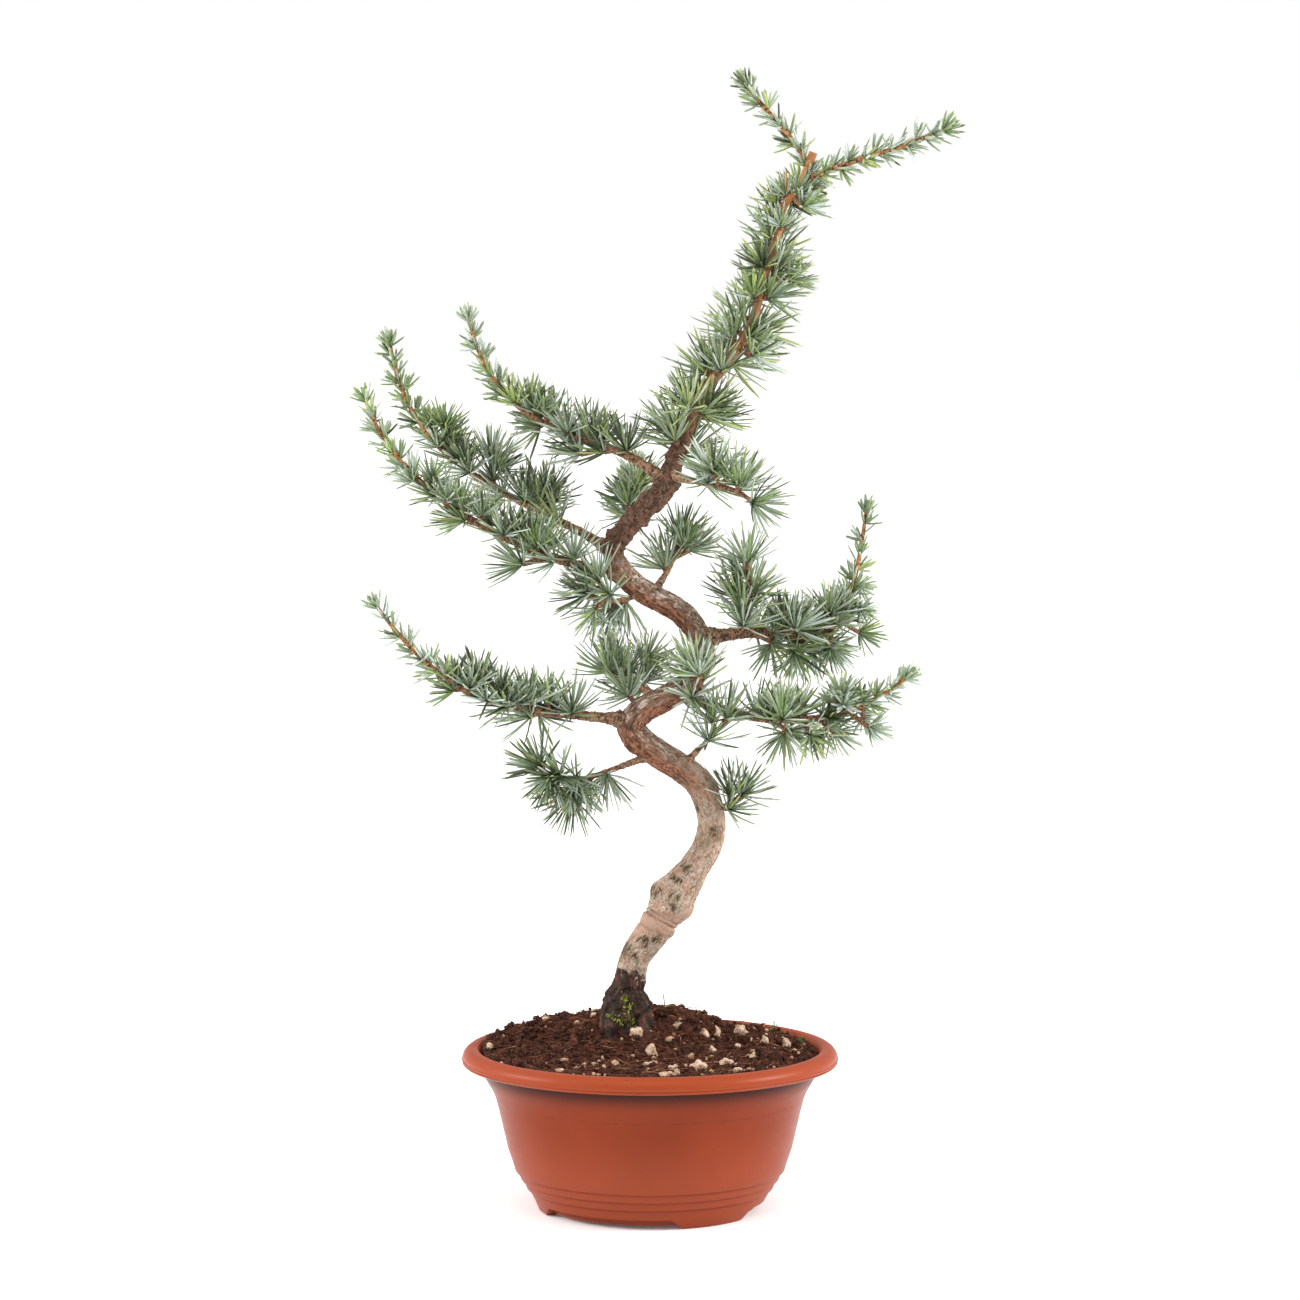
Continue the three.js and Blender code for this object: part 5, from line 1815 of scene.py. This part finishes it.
    def tufts(self, mass: Mass) -> list[Whorl]:
        """The small tufts of needles by turns along a mass's shoot, with the fuller one at its end.

        Args:
            mass: the mass, which has a shoot.

        Returns:
            The tufts, as small whorls.
        """
        step = self.tuft_step / mass.curve.length()
        *frames, end = frames_along(mass.curve, [*np.arange(mass.shoot_start, 1 - 0.4 * step, step), 1.0])
        found = []
        for k, stand in enumerate(frames):
            outward = stand.out(k * GOLDEN_TURN)
            root = stand.centre + outward * mass.thickness(stand.share) * 0.8
            aim = unit(outward + stand.forward * self.tuft_lean + UP * 0.12)
            needle = self.tree.needle_at(mass, stand.share)
            found.append(Whorl(root, aim, needle, stand.centre, 0.9, self.tuft_count, self.tuft_spread))
        needle = self.tree.needle_at(mass, 1)
        return [*found, Whorl(end.centre, end.forward, needle, end.centre, 0.9, 22, (4, 58))]

    def whorl_needles(self, whorl: Whorl, rng: Chance) -> list[Array]:
        """The needles of a whorl.

        Args:
            whorl: the whorl.
            rng: the seeded source of chance.

        Returns:
            Their roots, aims, bends and lengths.
        """
        count = int(whorl.count * rng.uniform(0.85, 1.1))
        side, over = square_to(whorl.aim)
        turn = np.arange(count) * GOLDEN_TURN + rng.uniform(-0.25, 0.25, count) + rng.random() * 6
        rise = ((np.arange(count) + 0.5) / count) ** 0.66
        polar = np.radians(mix(*whorl.spread, rise) + rng.normal(0, 4, count))
        round_ = np.cos(turn)[:, None] * side + np.sin(turn)[:, None] * over
        aims = unit(np.cos(polar)[:, None] * whorl.aim + np.sin(polar)[:, None] * round_)
        bends = whorl.aim * rng.uniform(0.02, 0.22, (count, 1)) + rng.normal(0, 0.04, (count, 3))
        roots = whorl.centre + aims * 0.7 + whorl.aim * (0.8 - 1.3 * rise)[:, None]
        lengths = whorl.needle * rng.uniform(0.82, 1.12, count) * mix(0.85, 1, smooth(0, 0.3, rise))
        return [roots, aims, sideways(bends, aims), lengths]

    def single_needles(self, mass: Mass, rng: Chance) -> list[Array]:
        """The single needles along a mass's shoot.

        Args:
            mass: the mass, which has a shoot.
            rng: the seeded source of chance.

        Returns:
            Their roots, aims, bends and lengths.
        """
        step = self.single_step / mass.curve.length()
        frames = frames_along(mass.curve, np.arange(mass.shoot_start, 1 - step, step))
        count = len(frames)
        turn = np.arange(count) * GOLDEN_TURN
        centre, forward, side, over = columns(frames, "centre", "forward", "side", "over")
        outward = np.cos(turn)[:, None] * side + np.sin(turn)[:, None] * over
        aims = unit(outward + forward * (rng.uniform(0.7, 1.3, (count, 1)) * self.single_lean))
        bends = forward * rng.uniform(0.0, 0.2, (count, 1)) + rng.normal(0, 0.03, outward.shape)
        thick = np.array([mass.thickness(stand.share) for stand in frames])
        lengths = np.array([self.tree.needle_at(mass, stand.share) for stand in frames])
        lengths = lengths * rng.uniform(0.85, 1.12, count)
        return [centre + outward * (thick * 0.7)[:, None], aims, sideways(bends, aims), lengths]

    def tint_shares(self, where: Array, young: bool) -> Array:
        """How the tints are shared out: a painted shade low down on the left, a painted highlight at the
        top, greener up the leader.

        Args:
            where: the place.
            young: whether the needles there are this year's.

        Returns:
            The share of each tint, in the order of Tint.
        """
        green = float(smooth(430, 490, where[2]) * (1 - smooth(580, 640, where[2])))
        low_left = float((1 - smooth(320, 370, where[2])) * (1 - smooth(-60, 0, where[0])))
        top = float(smooth(540, 585, where[2]))
        # Painted shade: more of the dark tint low down on the left; painted light: more of the palest tint
        # at the top.
        shares = {Tint.FROST_HIGHLIGHT: 0.15 - 0.07 * low_left + 0.15 * top - 0.08 * green,
                  Tint.GLAUCOUS: 0.26 - 0.08 * low_left - 0.12 * green,
                  Tint.SEA: 0.24 + 0.06 * low_left, Tint.LEAF: 0.16 + 0.2 * green - 0.1 * top,
                  Tint.LIME: 0.05 + 0.3 * green + 0.02 * top - 0.03 * low_left,
                  Tint.DEEP_SHADE: 0.16 + 0.2 * low_left - 0.08 * top + 0.08 * green, Tint.STRAW: 0.003}
        if young:
            shares = {**shares, Tint.FROST_HIGHLIGHT: 0.36, Tint.LIME: 0.04, Tint.DEEP_SHADE: 0.05}
        row = np.array([shares[tint] for tint in Tint])
        return row / row.sum()

    def build(self) -> None:
        """Shows the needles, joined by tint, and the buds."""
        self.thicken()
        rng = np.random.default_rng(17)
        sets: list[list[Array]] = []
        buds: list[Whorl] = []
        for mass in self.tree.masses:
            buds.extend(mass.whorls)
            whorls = [*mass.whorls, *(self.tufts(mass) if mass.shoot else [])]
            batches = [(whorl.centre, self.whorl_needles(whorl, rng)) for whorl in whorls]
            if mass.shoot:
                needles = self.single_needles(mass, rng)
                batches.append((needles[0].mean(axis=0), needles))
            for where, needles in batches:
                shares = self.tint_shares(where, needles[3].mean() < self.young_needle)
                favoured = rng.choice(len(Tint), p=shares)
                tints = np.where(rng.random(len(needles[0])) < self.favour, favoured,
                                 rng.choice(len(Tint), len(needles[0]), p=shares))
                sets.append([*needles, tints])
        roots, aims, bends, lengths, tint = (np.concatenate(part) for part in zip(*sets))
        keep = np.ones(len(roots), dtype=bool)
        for share in self.checks:
            along = roots + aims * (lengths * share)[:, None] + bends * (lengths * share**2)[:, None]
            keep &= nearest(self.tree.limb_bones, along) > self.clearance
        log.info("needles: %d grown, %d kept", len(keep), keep.sum())
        self.show_needles([part[keep] for part in (roots, aims, bends, lengths)], tint[keep], rng)
        self.show_buds(buds)

    def show_needles(self, needles: list[Array], tint: Array, rng: Chance) -> None:
        """Shows the needles as one joined piece for each tint.

        Args:
            needles: their roots, aims, bends and lengths.
            tint: the number of each one's tint.
            rng: the seeded source of chance.
        """
        shape = unit_tube(4, len(self.profile) - 1, pointed=True)
        middles = [np.mean([shape.corners[i] for i in face], axis=0) for face in shape.faces]
        sharp = [max(shape.corners[i][2] for i in face) > 0.99 for face in shape.faces]
        slots = [2 if point else int(middle[1] > 0) for middle, point in zip(middles, sharp)]
        wide = rng.uniform(*self.width, len(tint)) * mix(self.young_width, 1, smooth(9, 20, needles[3]))
        widths = np.column_stack([wide, wide * self.flatness])
        masses = [f"foliage_{mass.name}" for mass in self.tree.masses]
        for number, kind in enumerate(Tint):
            own = [part[tint == number] for part in (*needles, widths)]
            heap = Heap()
            heap.add(shape, strands(shape, *own, self.profile), slots)
            name = f"needles_{kind.name.lower()}"
            show(name, heap.mesh(name), Slot.NEEDLES, kind.materials(), masses)

    def show_buds(self, whorls: Sequence[Whorl]) -> None:
        """Shows the dark buds in the middle of the whorls.

        Args:
            whorls: the whorls.
        """
        ball = unit_ball(1)
        heap = Heap()
        for whorl in whorls:
            side, over = square_to(whorl.aim)
            turned = (ball.corners[:, :1] * side * 1.25 + ball.corners[:, 1:2] * over * 1.25
                      + ball.corners[:, 2:] * whorl.aim * 1.9)
            heap.add(ball, whorl.centre + whorl.aim * 0.6 + turned, sunk=np.zeros(len(turned)))
        bark = TwigBark("bud_scales", srgb(112, 66, 48), srgb(62, 38, 32), 0.8)
        show("buds", heap.mesh("buds"), Slot.BOUGH, [bark.material()])


@dataclass
class Studio:
    """The pale floor, the white room with its soft lamps, and the camera."""

    eye: tuple[float, float, float] = (0.0, -2400.0, 510.0)
    pitch: float = 4.36
    lens: float = 114.92
    floor: float = 40000.0
    floor_glow: float = 0.07
    walls: Rows = ((0.085, 1.0), (0.25, 0.32), (0.7, 0.95))
    side_walls: float = 0.9
    daylight: float = 0.85
    daylight_spread: float = 56.0

    def hang(self, light: bpy.types.Light, place: Sequence[float]) -> None:
        """Hangs a light, facing the middle of the plant.

        Args:
            light: the light.
            place: where it hangs.
        """
        lamp = bpy.data.objects.new(light.name, light)
        lamp.location = Vector(place) * MM
        lamp.rotation_euler = (Vector(place) - Vector((0, 0, 250))).to_track_quat("Z", "Y").to_euler()
        bpy.context.scene.collection.objects.link(lamp)

    def lamps(self) -> None:
        """Hangs two soft boxes beside the plant and a broad soft light above it."""
        for name, place, size, power in (("box_left", (-1900, -200, 900), 700, 32.0),
                                         ("box_right", (1850, -260, 1000), 700, 38.0)):
            light = bpy.data.lights.new(name, "AREA")
            light.size, light.energy = size * MM, power
            self.hang(light, place)
        light = bpy.data.lights.new("daylight", "SUN")
        light.energy, light.angle = self.daylight, math.radians(self.daylight_spread)
        self.hang(light, (-350, -1300, 2900))

    def room(self) -> None:
        """Makes the white room: bright at the horizon, dim in the middle and lit again from above."""
        world = bpy.data.worlds.new("room")
        world.use_nodes = True
        tree = Nodes(world.node_tree)
        place = tree.node("TexCoord", {}).outputs["Generated"]
        axes = tree.node("SeparateXYZ", {"Vector": place}).outputs
        bright = self.walls[0][1]
        for (low, before), (high, after) in zip(self.walls, self.walls[1:]):
            bright = tree.maths("ADD", tree.between(axes["Z"], low, high, after - before), bright)
        rise = tree.between(axes["Z"], self.walls[0][0], self.walls[1][0], self.side_walls)
        sides = tree.times(axes["X"], axes["X"], rise)
        background = tree.nodes["Background"].inputs
        tree.give(background["Strength"], tree.maths("ADD", sides, bright))
        tree.give(background["Color"], (1, 1, 1, 1))
        bpy.context.scene.world = world

    def build(self) -> None:
        """Sets up the studio."""
        scene = bpy.context.scene
        bm = bmesh.new()
        bmesh.ops.create_grid(bm, x_segments=1, y_segments=1, size=self.floor)
        floor = bpy.data.objects.new("floor", finished(bm, "floor"))
        scene.collection.objects.link(floor)
        paper = Graph("floor_paper", (0.97, 0.97, 0.97, 1), 0.95, 0.0, Emission_Color=(1, 1, 1, 1),
                      Emission_Strength=self.floor_glow)
        floor.data.materials.append(paper.finish())
        self.lamps()
        self.room()
        scene.view_settings.view_transform = "Standard"
        camera = bpy.data.objects.new("camera", bpy.data.cameras.new("camera"))
        camera.location = Vector(self.eye) * MM
        camera.rotation_euler = (math.radians(90 - self.pitch), 0, 0)
        camera.data.lens = self.lens
        camera.data.sensor_width = 36.0
        camera.data.dof.use_dof = False
        scene.collection.objects.link(camera)
        scene.camera = camera


def main() -> None:
    """Builds the studio, the bowl with its soil, and the tree."""
    logging.basicConfig(level=logging.INFO, format="%(name)s: %(message)s")
    Studio().build()
    Bowl().build()
    SoilBed().build()
    skeleton = Skeleton()
    Trunk(skeleton).build()
    foliage = Foliage(skeleton)
    foliage.build()
    Limbs(skeleton).build()


if __name__ == "__main__":
    main()
